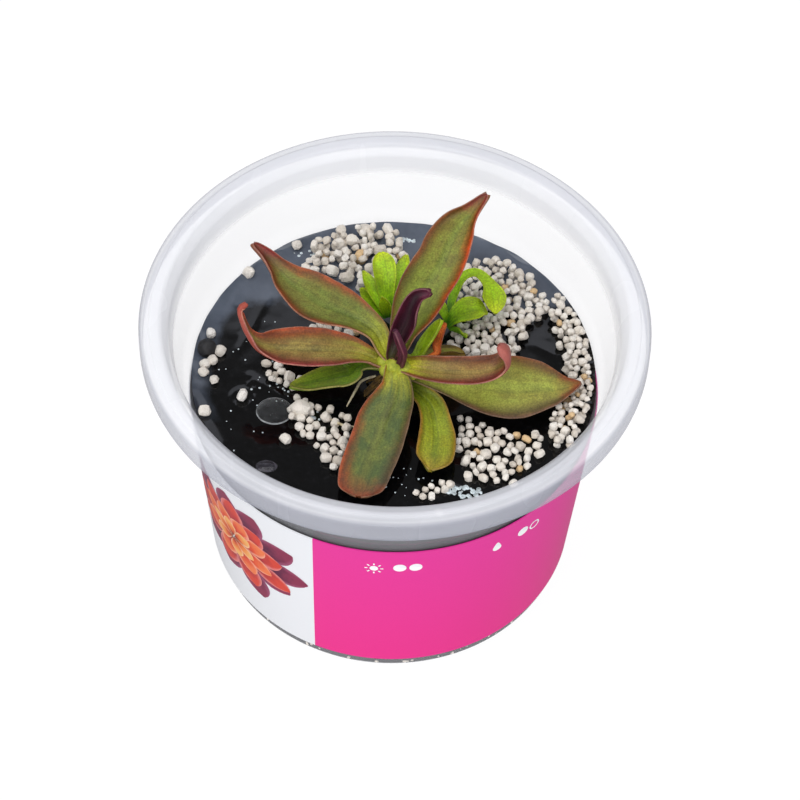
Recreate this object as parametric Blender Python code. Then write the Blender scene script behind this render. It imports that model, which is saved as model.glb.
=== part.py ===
"""Potted butterwort: a rosette of fleshy leaves on black growing gel in a clear round cup.

The cup stands on its foot ring with the middle of that ring at the origin, +Z up, and its
printed panel faces -Y. Sizes and places below are in millimetres, and MM turns them into metres
where a mesh is made. Heights are given over a level that lies DATUM above the surface the foot
ring stands on, and each mesh is raised by DATUM when it is made.
"""
import math
import random
from dataclasses import dataclass

import bmesh
import bpy
from mathutils import Matrix, Vector

MM = 0.001
CLEARANCE = 0.3
DATUM = 1.6

# Cup: thin-walled, tapered, with a stacking shoulder and a skirted rim
RIM_TOP = 66.5
RIM_RADIUS = 50.5
WALL = 0.75
FLOOR_THICKNESS = 0.9
FOOT_RECESS = 1.0
FOOT_INNER_RADIUS = 34.9
BODY_FOOT_RADIUS = 37.3
BODY_TOP_RADIUS = 41.2
BODY_FOOT_HEIGHT = -1.2
SHOULDER_HEIGHT = 48.8
SHOULDER_RISE = 2.4
SHOULDER_STEP = 1.35
COLLAR_TOP_RADIUS = 44.9
COLLAR_TOP_DROP = 1.9
LAND_INNER_RADIUS = 46.5
LAND_OUTER_RADIUS = 48.3
LIP_STEP = 0.25
SKIRT_DEPTH = 5.2
FOOT_EDGE = 0.3
COLLAR_FLARE = 0.7
FLANGE_THICKNESS = 1.0
EDGE_ROUND = 0.25
INNER_EDGE = 0.6
OUTER_EDGE = (0.25, 0.85)
TURNED_STEPS = 60

# Label: a printed band that leaves a narrow window at the back
LABEL_BOTTOM = 1.7
LABEL_TOP = 44.5
LABEL_THICKNESS = 0.25
LABEL_WINDOW_DEGREES = 12.0

# Growing gel
GEL_LEVEL = 48.2
GEL_MENISCUS = 0.5
MENISCUS_WIDTH = 1.1
BEAD_PLACE = (-37.9, 4.6, 49.2)
BEAD_RADIUS = 1.95
STEM_PLACE = (0.0, -4.8)
STEM_HOLE_RADIUS = 1.9
STEM_HOLE_DEPTH = 4.0

# Crown, stem and roots
STEM_RADIUS = 1.3
CROWN_RADIUS = 1.9
CROWN_HEIGHT = 56.9
CROWN_HALF_HEIGHT = 2.5
STEM_FLARE = 0.2
ROOT_RADIUS = 0.45
ROOT_TAPER = 1.3
ROOT_TOP = (52.5, 55.0)
ROOT_REACH = (3.2, 5.6)
ROOT_FAN = (150.0, 280.0)
ROOT_COUNT = 9

# Leaf blades
BLADE_THICKNESS = 0.8
SMALL_BLADE_THICKNESS = 0.6
BLADE_COLUMNS = 6

# Pumice grains
GRAIN_RADIUS = (0.75, 1.15)
GRAIN_SPACING = 2.95
GRAIN_JITTER = 0.3
PILE_CHANCE = 0.5
PILE_SHIFT = (0.6, -0.4)
PILE_RISE = 2.2
BED_THICKNESS = 0.6
BED_INSET = 1.3
SEED = 11


def material(name, color, roughness, metallic=0.0, alpha=1.0):
    """Return a Principled material with the given linear colour."""
    mat = bpy.data.materials.new(name)
    mat.use_nodes = True
    shader = mat.node_tree.nodes["Principled BSDF"]
    shader.inputs["Base Color"].default_value = (*color, 1.0)
    shader.inputs["Roughness"].default_value = roughness
    shader.inputs["Metallic"].default_value = metallic
    shader.inputs["Alpha"].default_value = alpha
    mat.diffuse_color = (*color, alpha)
    return mat


def add_object(name, mesh, mat, smooth_angle=35.0):
    """Link an object for the mesh, shaded smooth up to the given angle."""
    mesh.materials.clear()
    mesh.materials.append(mat)
    mesh.shade_smooth()
    mesh.set_sharp_from_angle(angle=math.radians(smooth_angle))
    obj = bpy.data.objects.new(name, mesh)
    bpy.context.collection.objects.link(obj)
    return obj


def mesh_from(bm, name):
    """Turn a bmesh in millimetres into a mesh in metres over the foot and free it."""
    bmesh.ops.translate(bm, vec=(0, 0, DATUM), verts=bm.verts)
    bmesh.ops.scale(bm, vec=(MM, MM, MM), verts=bm.verts)
    mesh = bpy.data.meshes.new(name)
    bm.to_mesh(mesh)
    bm.free()
    return mesh


def turned_mesh(name, profile, steps=TURNED_STEPS):
    """Turn a profile that starts and ends on the Z axis into a closed mesh."""
    bm = bmesh.new()
    points = [bm.verts.new((radius, 0.0, height)) for radius, height in profile]
    edges = [bm.edges.new(pair) for pair in zip(points, points[1:])]
    bmesh.ops.spin(bm, geom=points + edges, cent=(0, 0, 0), axis=(0, 0, 1),
                   angle=2.0 * math.pi, steps=steps, use_merge=True)
    bmesh.ops.remove_doubles(bm, verts=bm.verts, dist=0.001)
    bmesh.ops.recalc_face_normals(bm, faces=bm.faces)
    return mesh_from(bm, name)


def wall_radius(height):
    """Outer radius of the tapered body wall at a height."""
    share = (height - BODY_FOOT_HEIGHT) / (SHOULDER_HEIGHT - BODY_FOOT_HEIGHT)
    return BODY_FOOT_RADIUS + share * (BODY_TOP_RADIUS - BODY_FOOT_RADIUS)


def cup_profile():
    """Profile of the cup from the middle of its underside to the middle of its floor."""
    foot = -DATUM
    floor_bottom = foot + FOOT_RECESS
    floor_top = floor_bottom + FLOOR_THICKNESS
    shoulder_top = SHOULDER_HEIGHT + SHOULDER_RISE
    collar_height = RIM_TOP - COLLAR_TOP_DROP
    skirt_bottom = RIM_TOP - SKIRT_DEPTH
    skirt_inner = RIM_RADIUS - WALL
    outer = [
        (0.0, floor_bottom),
        (FOOT_INNER_RADIUS - FOOT_EDGE, floor_bottom),
        (FOOT_INNER_RADIUS, foot),
        (BODY_FOOT_RADIUS - FOOT_EDGE, foot),
        (BODY_FOOT_RADIUS, BODY_FOOT_HEIGHT),
        (BODY_TOP_RADIUS, SHOULDER_HEIGHT),
        (BODY_TOP_RADIUS + SHOULDER_STEP, shoulder_top),
        (COLLAR_TOP_RADIUS + COLLAR_FLARE, collar_height - 2.0 * INNER_EDGE),
        (LAND_INNER_RADIUS + EDGE_ROUND, RIM_TOP - FLANGE_THICKNESS),
        (skirt_inner - INNER_EDGE, RIM_TOP - FLANGE_THICKNESS),
        (skirt_inner, RIM_TOP - FLANGE_THICKNESS - INNER_EDGE),
        (skirt_inner, skirt_bottom),
        (RIM_RADIUS, skirt_bottom),
        (RIM_RADIUS, RIM_TOP - 2.0 * INNER_EDGE),
        (RIM_RADIUS - OUTER_EDGE[0], RIM_TOP - INNER_EDGE),
        (RIM_RADIUS - OUTER_EDGE[1], RIM_TOP - LIP_STEP),
    ]
    inner = [
        (LAND_OUTER_RADIUS + EDGE_ROUND, RIM_TOP - LIP_STEP),
        (LAND_OUTER_RADIUS, RIM_TOP),
        (LAND_INNER_RADIUS, RIM_TOP),
        (LAND_INNER_RADIUS - 2.0 * EDGE_ROUND, RIM_TOP - EDGE_ROUND),
        (COLLAR_TOP_RADIUS, collar_height),
        (COLLAR_TOP_RADIUS - EDGE_ROUND, collar_height - 2.0 * EDGE_ROUND),
        (BODY_TOP_RADIUS + SHOULDER_STEP - WALL, shoulder_top),
        (BODY_TOP_RADIUS - WALL, SHOULDER_HEIGHT),
        (wall_radius(floor_top) - WALL, floor_top),
        (0.0, floor_top),
    ]
    return outer + inner


def make_cup():
    """Clear tapered cup with shoulder, sealing land and skirted rim."""
    mat = material("clear_polypropylene", (0.86, 0.88, 0.93), 0.3, alpha=0.5)
    return add_object("cup", turned_mesh("cup", cup_profile()), mat)


def make_label():
    """Printed band round the body, open at the back."""
    bm = bmesh.new()
    gap = CLEARANCE
    section = []
    for height, offset in ((LABEL_BOTTOM, gap), (LABEL_BOTTOM, gap + LABEL_THICKNESS),
                           (LABEL_TOP, gap + LABEL_THICKNESS), (LABEL_TOP, gap)):
        section.append(bm.verts.new((wall_radius(height) + offset, 0.0, height)))
    face = bm.faces.new(section)
    half_window = math.radians(LABEL_WINDOW_DEGREES / 2.0)
    start = math.pi / 2.0 + half_window
    bmesh.ops.rotate(bm, verts=bm.verts, cent=(0, 0, 0), matrix=Matrix.Rotation(start, 3, "Z"))
    geom = [face] + list(face.edges) + list(face.verts)
    bmesh.ops.spin(bm, geom=geom, cent=(0, 0, 0), axis=(0, 0, 1),
                   angle=2.0 * (math.pi - half_window), steps=TURNED_STEPS - 2)
    bmesh.ops.recalc_face_normals(bm, faces=bm.faces)
    mat = material("printed_label", (0.93, 0.05, 0.37), 0.35)
    return add_object("label", mesh_from(bm, "label"), mat)


def ball(name, centre, radius, mat, segments=14, rings=8):
    """A closed ball at a place."""
    bm = bmesh.new()
    bmesh.ops.create_uvsphere(bm, u_segments=segments, v_segments=rings, radius=radius)
    bmesh.ops.translate(bm, vec=centre, verts=bm.verts)
    return add_object(name, mesh_from(bm, name), mat, 60.0)


def applied(obj):
    """Replace the object's mesh by the one its modifiers give, and drop the modifiers."""
    graph = bpy.context.evaluated_depsgraph_get()
    mesh = bpy.data.meshes.new_from_object(obj.evaluated_get(graph))
    old = obj.data
    obj.modifiers.clear()
    obj.data = mesh
    mesh.name = obj.name
    bpy.data.meshes.remove(old)
    return obj


def fuse(base, others, solver="EXACT", smooth_angle=40.0):
    """Join the others to the base with one Boolean union, and remove them."""
    group = bpy.data.collections.new(base.name + "_repeats")
    bpy.context.scene.collection.children.link(group)
    for other in others:
        group.objects.link(other)
    union = base.modifiers.new("union", "BOOLEAN")
    union.operation = "UNION"
    union.operand_type = "COLLECTION"
    union.collection = group
    union.solver = solver
    applied(base)
    for other in others:
        bpy.data.objects.remove(other)
    bpy.data.collections.remove(group)
    drop_scraps(base.data)
    base.data.shade_smooth()
    base.data.set_sharp_from_angle(angle=math.radians(smooth_angle))
    return base


def drop_scraps(mesh):
    """Keep only the largest connected shell of a mesh."""
    bm = bmesh.new()
    bm.from_mesh(mesh)
    bmesh.ops.remove_doubles(bm, verts=bm.verts, dist=1e-6)
    unseen = set(bm.verts)
    shells = []
    while unseen:
        stack = [unseen.pop()]
        shell = []
        while stack:
            vert = stack.pop()
            shell.append(vert)
            for edge in vert.link_edges:
                other = edge.other_vert(vert)
                if other in unseen:
                    unseen.remove(other)
                    stack.append(other)
        shells.append(shell)
    shells.sort(key=len)
    for shell in shells[:-1]:
        bmesh.ops.delete(bm, geom=shell, context="VERTS")
    bmesh.ops.triangulate(bm, faces=bm.faces)
    bm.to_mesh(mesh)
    bm.free()


def make_gel():
    """Black gel that fills the cup, with a raised edge, a stem hole and a half-sunk bead."""
    bottom = -DATUM + FOOT_RECESS + FLOOR_THICKNESS + CLEARANCE
    gap = WALL + CLEARANCE
    edge_radius = wall_radius(GEL_LEVEL) - gap
    profile = [
        (0.0, bottom),
        (wall_radius(bottom) - gap, bottom),
        (edge_radius, GEL_LEVEL + GEL_MENISCUS),
        (edge_radius - 0.5 * MENISCUS_WIDTH, GEL_LEVEL + 0.25 * GEL_MENISCUS),
        (edge_radius - MENISCUS_WIDTH, GEL_LEVEL),
        (0.0, GEL_LEVEL),
    ]
    mat = material("black_gel", (0.006, 0.006, 0.008), 0.08)
    gel = add_object("gel", turned_mesh("gel", profile), mat)
    bead = ball("bead", BEAD_PLACE, BEAD_RADIUS, mat)
    fuse(gel, [bead])
    bm = bmesh.new()
    bmesh.ops.create_cone(bm, cap_ends=True, segments=16, radius1=STEM_HOLE_RADIUS,
                          radius2=STEM_HOLE_RADIUS, depth=2.0 * STEM_HOLE_DEPTH)
    bmesh.ops.translate(bm, vec=(*STEM_PLACE, GEL_LEVEL), verts=bm.verts)
    cutter = add_object("stem_hole", mesh_from(bm, "stem_hole"), mat)
    cut = gel.modifiers.new("stem hole", "BOOLEAN")
    cut.operation = "DIFFERENCE"
    cut.object = cutter
    applied(gel)
    bpy.data.objects.remove(cutter)
    return gel


def rod(name, start, end, radius_start, radius_end, mat, sides=6):
    """A tapered closed rod between two points."""
    start = Vector(start)
    axis = Vector(end) - start
    bm = bmesh.new()
    bmesh.ops.create_cone(bm, cap_ends=True, segments=sides, radius1=radius_start,
                          radius2=radius_end, depth=axis.length)
    turn = axis.to_track_quat("Z", "Y").to_matrix()
    bmesh.ops.rotate(bm, verts=bm.verts, cent=(0, 0, 0), matrix=turn)
    bmesh.ops.translate(bm, vec=start + axis / 2.0, verts=bm.verts)
    return add_object(name, mesh_from(bm, name), mat, 60.0)


def make_crown():
    """Crown of the rosette with its short stem and the roots that reach down to the gel."""
    mat = material("crown_and_roots", (0.33, 0.24, 0.06), 0.6)
    bm = bmesh.new()
    bmesh.ops.create_uvsphere(bm, u_segments=12, v_segments=8, radius=CROWN_RADIUS)
    bmesh.ops.scale(bm, vec=(1, 1, CROWN_HALF_HEIGHT / CROWN_RADIUS), verts=bm.verts)
    bmesh.ops.translate(bm, vec=(*STEM_PLACE, CROWN_HEIGHT), verts=bm.verts)
    crown = add_object("crown", mesh_from(bm, "crown"), mat, 60.0)
    stem_bottom = GEL_LEVEL - STEM_HOLE_DEPTH + CLEARANCE
    pieces = [rod("stem", (*STEM_PLACE, stem_bottom), (*STEM_PLACE, CROWN_HEIGHT),
                  STEM_RADIUS, STEM_RADIUS + STEM_FLARE, mat, 10)]
    rng = random.Random(SEED)
    for index in range(ROOT_COUNT):
        share = index / (ROOT_COUNT - 1)
        turn = math.radians(ROOT_FAN[0] + share * (ROOT_FAN[1] - ROOT_FAN[0]))
        reach = rng.uniform(*ROOT_REACH)
        foot = Vector((STEM_PLACE[0] + reach * math.cos(turn),
                       STEM_PLACE[1] + reach * math.sin(turn),
                       GEL_LEVEL + CLEARANCE + ROOT_RADIUS))
        top = (*STEM_PLACE, rng.uniform(*ROOT_TOP))
        pieces.append(rod("root", top, foot, ROOT_RADIUS * ROOT_TAPER, ROOT_RADIUS, mat, 5))
    return fuse(crown, pieces, smooth_angle=60.0)


@dataclass(frozen=True)
class Leaf:
    """One blade: stations from base to tip, each (x, y, z, half width, roll, hollow).

    The side direction points to the right of the way from base to tip and lies at the angle
    `side` in plan, with `turn` added by the tip. Roll lifts that side, in degrees. Hollow lifts
    both margins over the midrib.
    """
    name: str
    side: float
    stations: tuple
    color: tuple
    rows: int = 14
    columns: int = BLADE_COLUMNS
    turn: float = 0.0
    thickness: float = BLADE_THICKNESS


def catmull_rom(points, per_span=10):
    """Sample a smooth curve through the points, which may have any number of values each."""
    ends = [[2 * a - b for a, b in zip(points[0], points[1])],
            [2 * a - b for a, b in zip(points[-1], points[-2])]]
    padded = [ends[0], *points, ends[1]]
    samples = []
    for p0, p1, p2, p3 in zip(padded, padded[1:], padded[2:], padded[3:]):
        for step in range(per_span):
            t = step / per_span
            samples.append([0.5 * (2 * b + (c - a) * t + (2 * a - 5 * b + 4 * c - d) * t * t
                                   + (3 * b - a - 3 * c + d) * t ** 3)
                            for a, b, c, d in zip(p0, p1, p2, p3)])
    samples.append(list(points[-1]))
    return samples


def even_rows(samples, rows):
    """Pick rows at equal steps of length along the sampled midrib."""
    lengths = [0.0]
    for before, after in zip(samples, samples[1:]):
        lengths.append(lengths[-1] + (Vector(after[:3]) - Vector(before[:3])).length)
    picked = []
    index = 0
    for row in range(rows):
        target = lengths[-1] * row / (rows - 1)
        while index < len(lengths) - 2 and lengths[index + 1] < target:
            index += 1
        share = (target - lengths[index]) / (lengths[index + 1] - lengths[index])
        picked.append([a + (b - a) * share for a, b in zip(samples[index], samples[index + 1])])
    return picked


def blade_points(leaf):
    """Grid of points over the leaf's middle surface, row by row from base to tip."""
    rows = even_rows(catmull_rom(leaf.stations), leaf.rows)
    columns = leaf.columns
    grid = []
    for index, (x, y, z, half_width, roll, hollow) in enumerate(rows):
        before = Vector(rows[max(index - 1, 0)][:3])
        after = Vector(rows[min(index + 1, len(rows) - 1)][:3])
        along = (after - before).normalized()
        angle = math.radians(leaf.side + leaf.turn * index / (len(rows) - 1))
        plan_side = Vector((math.cos(angle), math.sin(angle), 0.0))
        side = (plan_side - along * plan_side.dot(along)).normalized()
        side = Matrix.Rotation(-math.radians(roll), 3, along) @ side
        face = side.cross(along)
        line = []
        for column in range(columns + 1):
            u = 2.0 * column / columns - 1.0
            line.append(Vector((x, y, z)) + side * (half_width * u) + face * (hollow * u * u))
        grid.append(line)
    return grid


def make_blade(leaf, mat=None):
    """Leaf blade: a grid bent to the leaf's surface and thickened evenly to both sides."""
    mat = mat or material(leaf.name, leaf.color, 0.45)
    grid = blade_points(leaf)
    bm = bmesh.new()
    verts = [[bm.verts.new(point) for point in line] for line in grid]
    for lower, upper in zip(verts, verts[1:]):
        for column in range(leaf.columns):
            a, b = lower[column], lower[column + 1]
            c, d = upper[column + 1], upper[column]
            if column < leaf.columns // 2:
                bm.faces.new((a, b, c))
                bm.faces.new((a, c, d))
            else:
                bm.faces.new((a, b, d))
                bm.faces.new((b, c, d))
    blade = add_object(leaf.name, mesh_from(bm, leaf.name), mat, 60.0)
    wall = blade.modifiers.new("thickness", "SOLIDIFY")
    wall.thickness = leaf.thickness * MM
    wall.offset = 0.0
    wall.use_even_offset = False
    return blade


OLIVE = (0.25, 0.30, 0.05)
RUSSET = (0.30, 0.13, 0.05)
PURPLE = (0.09, 0.012, 0.03)
LEAF_GREEN = (0.26, 0.40, 0.04)
LIME = (0.38, 0.62, 0.02)
OLD_YELLOW = (0.42, 0.42, 0.02)
ORANGE = (0.75, 0.16, 0.01)
PUMICE = (0.68, 0.62, 0.55)

LEAVES = (
    Leaf("leaf_rear_tall", -20.0, (
        (1.4, -2.3, 59.2, 1.3, 0, 0.3),
        (2.1, 1.0, 61.2, 2.9, 0, 0.7),
        (4.1, 4.5, 64.6, 4.5, -4, 1.0),
        (6.0, 7.6, 67.2, 4.9, -5, 1.1),
        (8.7, 11.2, 70.0, 4.8, -5, 1.1),
        (10.3, 14.4, 72.3, 4.5, -4, 1.0),
        (12.3, 17.4, 74.2, 3.4, -3, 1.2),
        (14.6, 19.4, 76.2, 1.7, 0, 1.0),
        (17.5, 21.7, 78.8, 0.5, 0, 0.2),
    ), OLIVE, 17),
    Leaf("leaf_rear_left", 57.0, (
        (-2.2, -2.4, 58.8, 1.2, 0, 0.3),
        (-3.9, 0.7, 60.3, 2.1, 0, 0.6),
        (-7.2, 2.9, 61.2, 3.5, 0, 0.9),
        (-10.8, 4.8, 61.4, 4.9, 0, 1.0),
        (-14.8, 6.7, 61.5, 5.6, 0, 1.0),
        (-18.3, 9.5, 61.5, 5.0, 0, 1.1),
        (-21.4, 11.9, 61.6, 3.7, 0, 1.3),
        (-23.8, 14.6, 62.2, 2.2, 0, 1.1),
        (-26.1, 17.2, 63.1, 1.3, 0, 0.8),
        (-29.0, 19.6, 64.3, 0.5, 0, 0.2),
    ), OLIVE, 17),
    Leaf("leaf_left_hooked", 92.0, (
        (-2.6, -4.4, 57.0, 1.1, 0, 0.2),
        (-5.3, -3.4, 58.0, 1.5, 9, 0.4),
        (-9.0, -3.2, 59.1, 2.9, 13, 0.8),
        (-13.7, -4.0, 60.3, 3.9, 14, 1.0),
        (-18.8, -4.4, 60.8, 4.1, 14, 1.0),
        (-23.2, -4.6, 61.2, 3.5, 14, 1.0),
        (-26.7, -4.6, 62.4, 2.1, 10, 0.9),
        (-28.7, -3.6, 64.3, 0.9, 0, 0.4),
        (-29.9, -2.0, 66.3, 0.6, 0, 0.2),
        (-30.4, -0.3, 67.6, 0.6, 0, 0.1),
        (-29.4, 0.8, 67.8, 0.5, 0, 0.1),
    ), RUSSET, 18),
    Leaf("leaf_left_lower", 100.0, (
        (-2.3, -4.9, 55.2, 1.0, 0, 0.2),
        (-5.2, -4.4, 55.4, 1.3, 0, 0.3),
        (-8.3, -5.4, 54.9, 2.8, -10, 0.4),
        (-11.0, -6.0, 53.9, 3.7, -14, 0.3),
        (-14.4, -6.1, 52.9, 3.2, -10, 0.4),
        (-17.6, -6.0, 52.1, 1.8, 0, 0.3),
        (-20.3, -5.7, 51.8, 0.5, 0, 0.1),
    ), LEAF_GREEN, 13),
    Leaf("leaf_front", 160.0, (
        (-0.3, -7.4, 57.5, 1.5, 0, 0.3),
        (0.6, -10.2, 57.0, 2.9, 0, 0.5),
        (0.0, -13.2, 56.2, 4.2, 0, 0.5),
        (-1.6, -16.9, 55.1, 5.1, 0, 0.3),
        (-3.0, -21.6, 53.6, 5.3, 0, 0.1),
        (-4.7, -26.1, 52.1, 5.2, 0, -0.2),
        (-6.1, -29.7, 50.9, 4.3, 0, -0.3),
        (-7.0, -32.6, 50.2, 2.3, 0, -0.1),
    ), OLIVE, 14),
    Leaf("leaf_right_broad", -92.0, (
        (2.6, -5.6, 55.6, 1.5, 0, 0.2),
        (7.4, -6.6, 56.0, 2.7, -11, 0.2),
        (12.4, -6.9, 55.4, 4.2, -19, 0.2),
        (17.5, -7.0, 54.4, 5.9, -18, 0.0),
        (22.5, -6.8, 53.6, 6.8, -16, -0.2),
        (27.3, -6.3, 53.1, 6.2, -13, -0.2),
        (31.7, -6.2, 53.0, 4.2, -13, 0.0),
        (34.6, -5.8, 53.0, 2.1, -10, 0.1),
        (37.3, -4.9, 53.2, 0.5, 0, 0.0),
    ), OLIVE, 16),
    Leaf("leaf_right_curled", -90.0, (
        (2.4, -5.9, 58.2, 1.3, 0, 0.3),
        (5.5, -7.5, 59.5, 2.1, -14, 0.7),
        (9.4, -8.9, 60.6, 2.6, -18, 0.9),
        (13.5, -9.4, 61.2, 2.8, -20, 0.9),
        (16.8, -9.4, 61.5, 2.8, -18, 0.8),
        (20.0, -9.0, 62.2, 2.6, -12, 0.5),
        (22.0, -8.4, 64.0, 2.4, -6, 0.3),
        (21.9, -7.8, 66.0, 2.0, 0, 0.2),
        (20.3, -7.4, 66.9, 1.3, 0, 0.1),
    ), RUSSET, 16),
    Leaf("leaf_heart_purple", -20.0, (
        (-0.3, -4.2, 59.9, 0.9, 0, 0.6),
        (1.1, -2.2, 63.0, 1.7, 0, 1.5),
        (2.5, -0.6, 66.0, 2.0, 0, 2.0),
        (3.2, 0.6, 69.0, 1.6, 0, 1.7),
        (4.4, 1.5, 71.3, 1.2, 0, 0.8),
        (6.7, 1.4, 72.4, 0.6, 0, 0.2),
    ), PURPLE, 11),
    Leaf("leaf_heart_front", -50.0, (
        (1.35, -6.25, 59.35, 0.7, 0, 0.2),
        (1.8, -5.8, 62.6, 0.8, 0, 0.4),
        (0.9, -5.3, 65.4, 0.7, 0, 0.3),
        (0.0, -4.6, 67.4, 0.4, 0, 0.1),
    ), PURPLE, 6, 4),
    Leaf("leaf_heart_lime", -60.0, (
        (4.2, -3.3, 57.8, 0.9, 0, 0.2),
        (5.8, -1.0, 58.8, 1.2, 0, 0.3),
        (7.5, 1.3, 60.2, 1.1, 0, 0.3),
        (9.0, 3.2, 61.8, 0.5, 0, 0.1),
    ), LIME, 6, 4),
    Leaf("leaf_heart_orange", -5.0, (
        (8.2, -1.2, 56.4, 0.5, 0, 0.1),
        (8.4, 0.4, 57.2, 0.7, 0, 0.2),
        (8.9, 2.0, 58.8, 0.7, 0, 0.2),
        (9.9, 3.4, 60.6, 0.4, 0, 0.0),
    ), ORANGE, 6, 4),
    Leaf("leaf_withered", -60.0, (
        (3.4, -2.6, 55.2, 0.8, 0, 0.2),
        (6.2, -0.2, 54.8, 1.2, 10, 0.3),
        (9.6, 1.4, 53.8, 1.9, 25, 0.4),
        (12.0, 2.4, 52.8, 1.7, 15, 0.2),
        (14.0, 2.6, 52.2, 0.6, 0, 0.0),
    ), OLD_YELLOW, 8, 4),
    Leaf("leaf_front_old", 190.0, (
        (2.0, -7.0, 53.8, 1.0, 0, 0.3),
        (4.6, -8.9, 53.7, 1.6, 0, 0.5),
        (7.2, -11.6, 53.3, 2.6, 8, 0.6),
        (8.3, -15.2, 52.7, 3.0, 10, 0.6),
        (8.7, -19.3, 52.1, 3.6, 8, 0.4),
        (8.3, -23.4, 51.6, 3.6, 4, 0.2),
        (7.7, -26.2, 51.3, 1.8, 0, 0.1),
    ), OLD_YELLOW, 12),
)

PLANTLET_REAR_LEFT = (
    Leaf("blade", -10.0, (
        (-1.5, 13.4, 50.4, 0.7, 0, 0.1),
        (-1.9, 15.6, 54.0, 1.5, 0, 0.3),
        (-2.3, 18.8, 57.4, 2.3, 0, 0.4),
        (-3.2, 22.8, 59.2, 2.1, 0, 0.2),
    ), LIME, 6, 4, 0.0, SMALL_BLADE_THICKNESS),
    Leaf("blade", -25.0, (
        (-1.3, 13.6, 50.4, 0.7, 0, 0.1),
        (0.2, 15.9, 53.6, 1.4, 0, 0.3),
        (0.8, 19.3, 55.8, 1.6, 0, 0.3),
        (2.0, 23.6, 57.6, 1.0, 0, 0.2),
    ), LIME, 6, 4, 0.0, SMALL_BLADE_THICKNESS),
    Leaf("blade", 35.0, (
        (-1.7, 13.5, 50.4, 0.7, 0, 0.1),
        (-3.4, 15.0, 53.4, 1.3, 0, 0.3),
        (-5.1, 17.4, 55.0, 1.4, 0, 0.3),
        (-6.8, 20.4, 56.0, 0.5, 0, 0.1),
    ), LIME, 6, 4, 0.0, SMALL_BLADE_THICKNESS),
    Leaf("blade", 45.0, (
        (-1.8, 13.2, 50.2, 0.7, 0, 0.1),
        (-3.8, 14.4, 52.0, 1.5, 0, 0.3),
        (-5.5, 16.0, 53.0, 1.6, 0, 0.3),
        (-7.2, 17.8, 53.6, 0.7, 0, 0.1),
    ), LIME, 6, 4, 0.0, SMALL_BLADE_THICKNESS),
    Leaf("blade", 10.0, (
        (-1.6, 13.0, 50.4, 0.6, 0, 0.1),
        (-1.9, 12.6, 53.2, 1.1, 0, 0.2),
        (-2.4, 12.6, 55.2, 1.1, 0, 0.2),
        (-2.9, 13.0, 56.8, 0.4, 0, 0.0),
    ), LIME, 5, 4, 0.0, SMALL_BLADE_THICKNESS),
)

PLANTLET_REAR_RIGHT = (
    Leaf("blade", -70.0, (
        (10.6, 10.8, 50.8, 0.8, 0, 0.1),
        (12.2, 11.4, 53.2, 2.0, 0, 0.3),
        (14.4, 12.0, 54.4, 2.9, 0, 0.3),
        (16.8, 12.4, 54.4, 2.6, 0, 0.2),
        (18.6, 12.2, 53.4, 1.0, 0, 0.1),
    ), LIME, 7, 4, 0.0, SMALL_BLADE_THICKNESS),
    Leaf("blade", -20.0, (
        (10.8, 11.4, 50.8, 0.6, 0, 0.1),
        (11.6, 15.2, 54.2, 0.9, 0, 0.2),
        (13.4, 18.8, 56.4, 1.1, 0, 0.2),
        (16.2, 19.8, 57.0, 1.1, 0, 0.2),
        (18.8, 17.4, 56.4, 1.2, 0, 0.1),
        (20.4, 14.6, 55.4, 2.0, 0, 0.1),
        (21.4, 11.8, 54.2, 1.1, 0, 0.0),
    ), LIME, 12, 4, -130.0, SMALL_BLADE_THICKNESS),
    Leaf("blade", 140.0, (
        (11.2, 10.4, 50.6, 0.5, 0, 0.0),
        (13.2, 8.6, 51.8, 0.8, 0, 0.1),
        (14.6, 7.0, 52.2, 0.6, 0, 0.0),
    ), LIME, 4, 4, 0.0, SMALL_BLADE_THICKNESS),
    Leaf("blade", 60.0, (
        (10.8, 11.2, 50.8, 0.6, 0, 0.1),
        (9.8, 12.8, 52.6, 1.2, 0, 0.2),
        (8.6, 14.6, 53.4, 1.1, 0, 0.2),
        (7.6, 16.2, 53.4, 0.4, 0, 0.0),
    ), LIME, 5, 4, 0.0, SMALL_BLADE_THICKNESS),
)

PLANTLET_CORE_RADIUS = 1.1


@dataclass(frozen=True)
class Patch:
    """A drift of grains on the gel: its outline in plan, and where a second layer starts."""
    name: str
    outline: tuple
    pile_radius: float = 99.0


PATCHES = (
    Patch("pumice_rear_left", ((-19, 26), (-17, 33), (-12, 36), (-5, 37.5), (0, 36), (2, 28),
                               (-3, 24), (-7, 20.5), (-14, 24)), 26.0),
    Patch("pumice_left", ((-19, 11.5), (-13.5, 12.5), (-7.5, 11), (-7.5, 8.5), (-14, 8.5))),
    Patch("pumice_rear_right", ((15, 26), (20, 29), (25, 28), (31, 21), (32.5, 14), (28, 8.5),
                                (22, 5), (15.5, 3.5), (12, 6.5), (16, 15), (22, 17))),
    Patch("pumice_right_wall", ((34, 17.5), (37, 10), (38.5, 0), (38, -8), (34, -17), (30.5, -16),
                                (31.5, -11), (35, -5), (34, 2), (30.5, 5)), 33.0),
    Patch("pumice_front_right", ((13, -10), (17, -12), (23, -14), (29, -14.5), (30.5, -18),
                                 (26, -24), (20.5, -27), (15, -26), (13, -20))),
    Patch("pumice_left_edge", ((-27, 2.5), (-22, 0.5), (-18, -2), (-20, -6), (-25, -2.5))),
    Patch("pumice_front_left", ((-19.5, -7.5), (-13, -9), (-8.5, -10.5), (-9, -17), (-10.5, -25.5),
                                (-14, -21), (-18, -16), (-21, -11))),
    Patch("pumice_front", ((5, -29), (8, -28.5), (11, -26.5), (12, -28), (8, -31), (5, -31))),
)


def make_leaves():
    """Every full leaf of the rosette as its own blade."""
    return [make_blade(leaf) for leaf in LEAVES]


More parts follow.
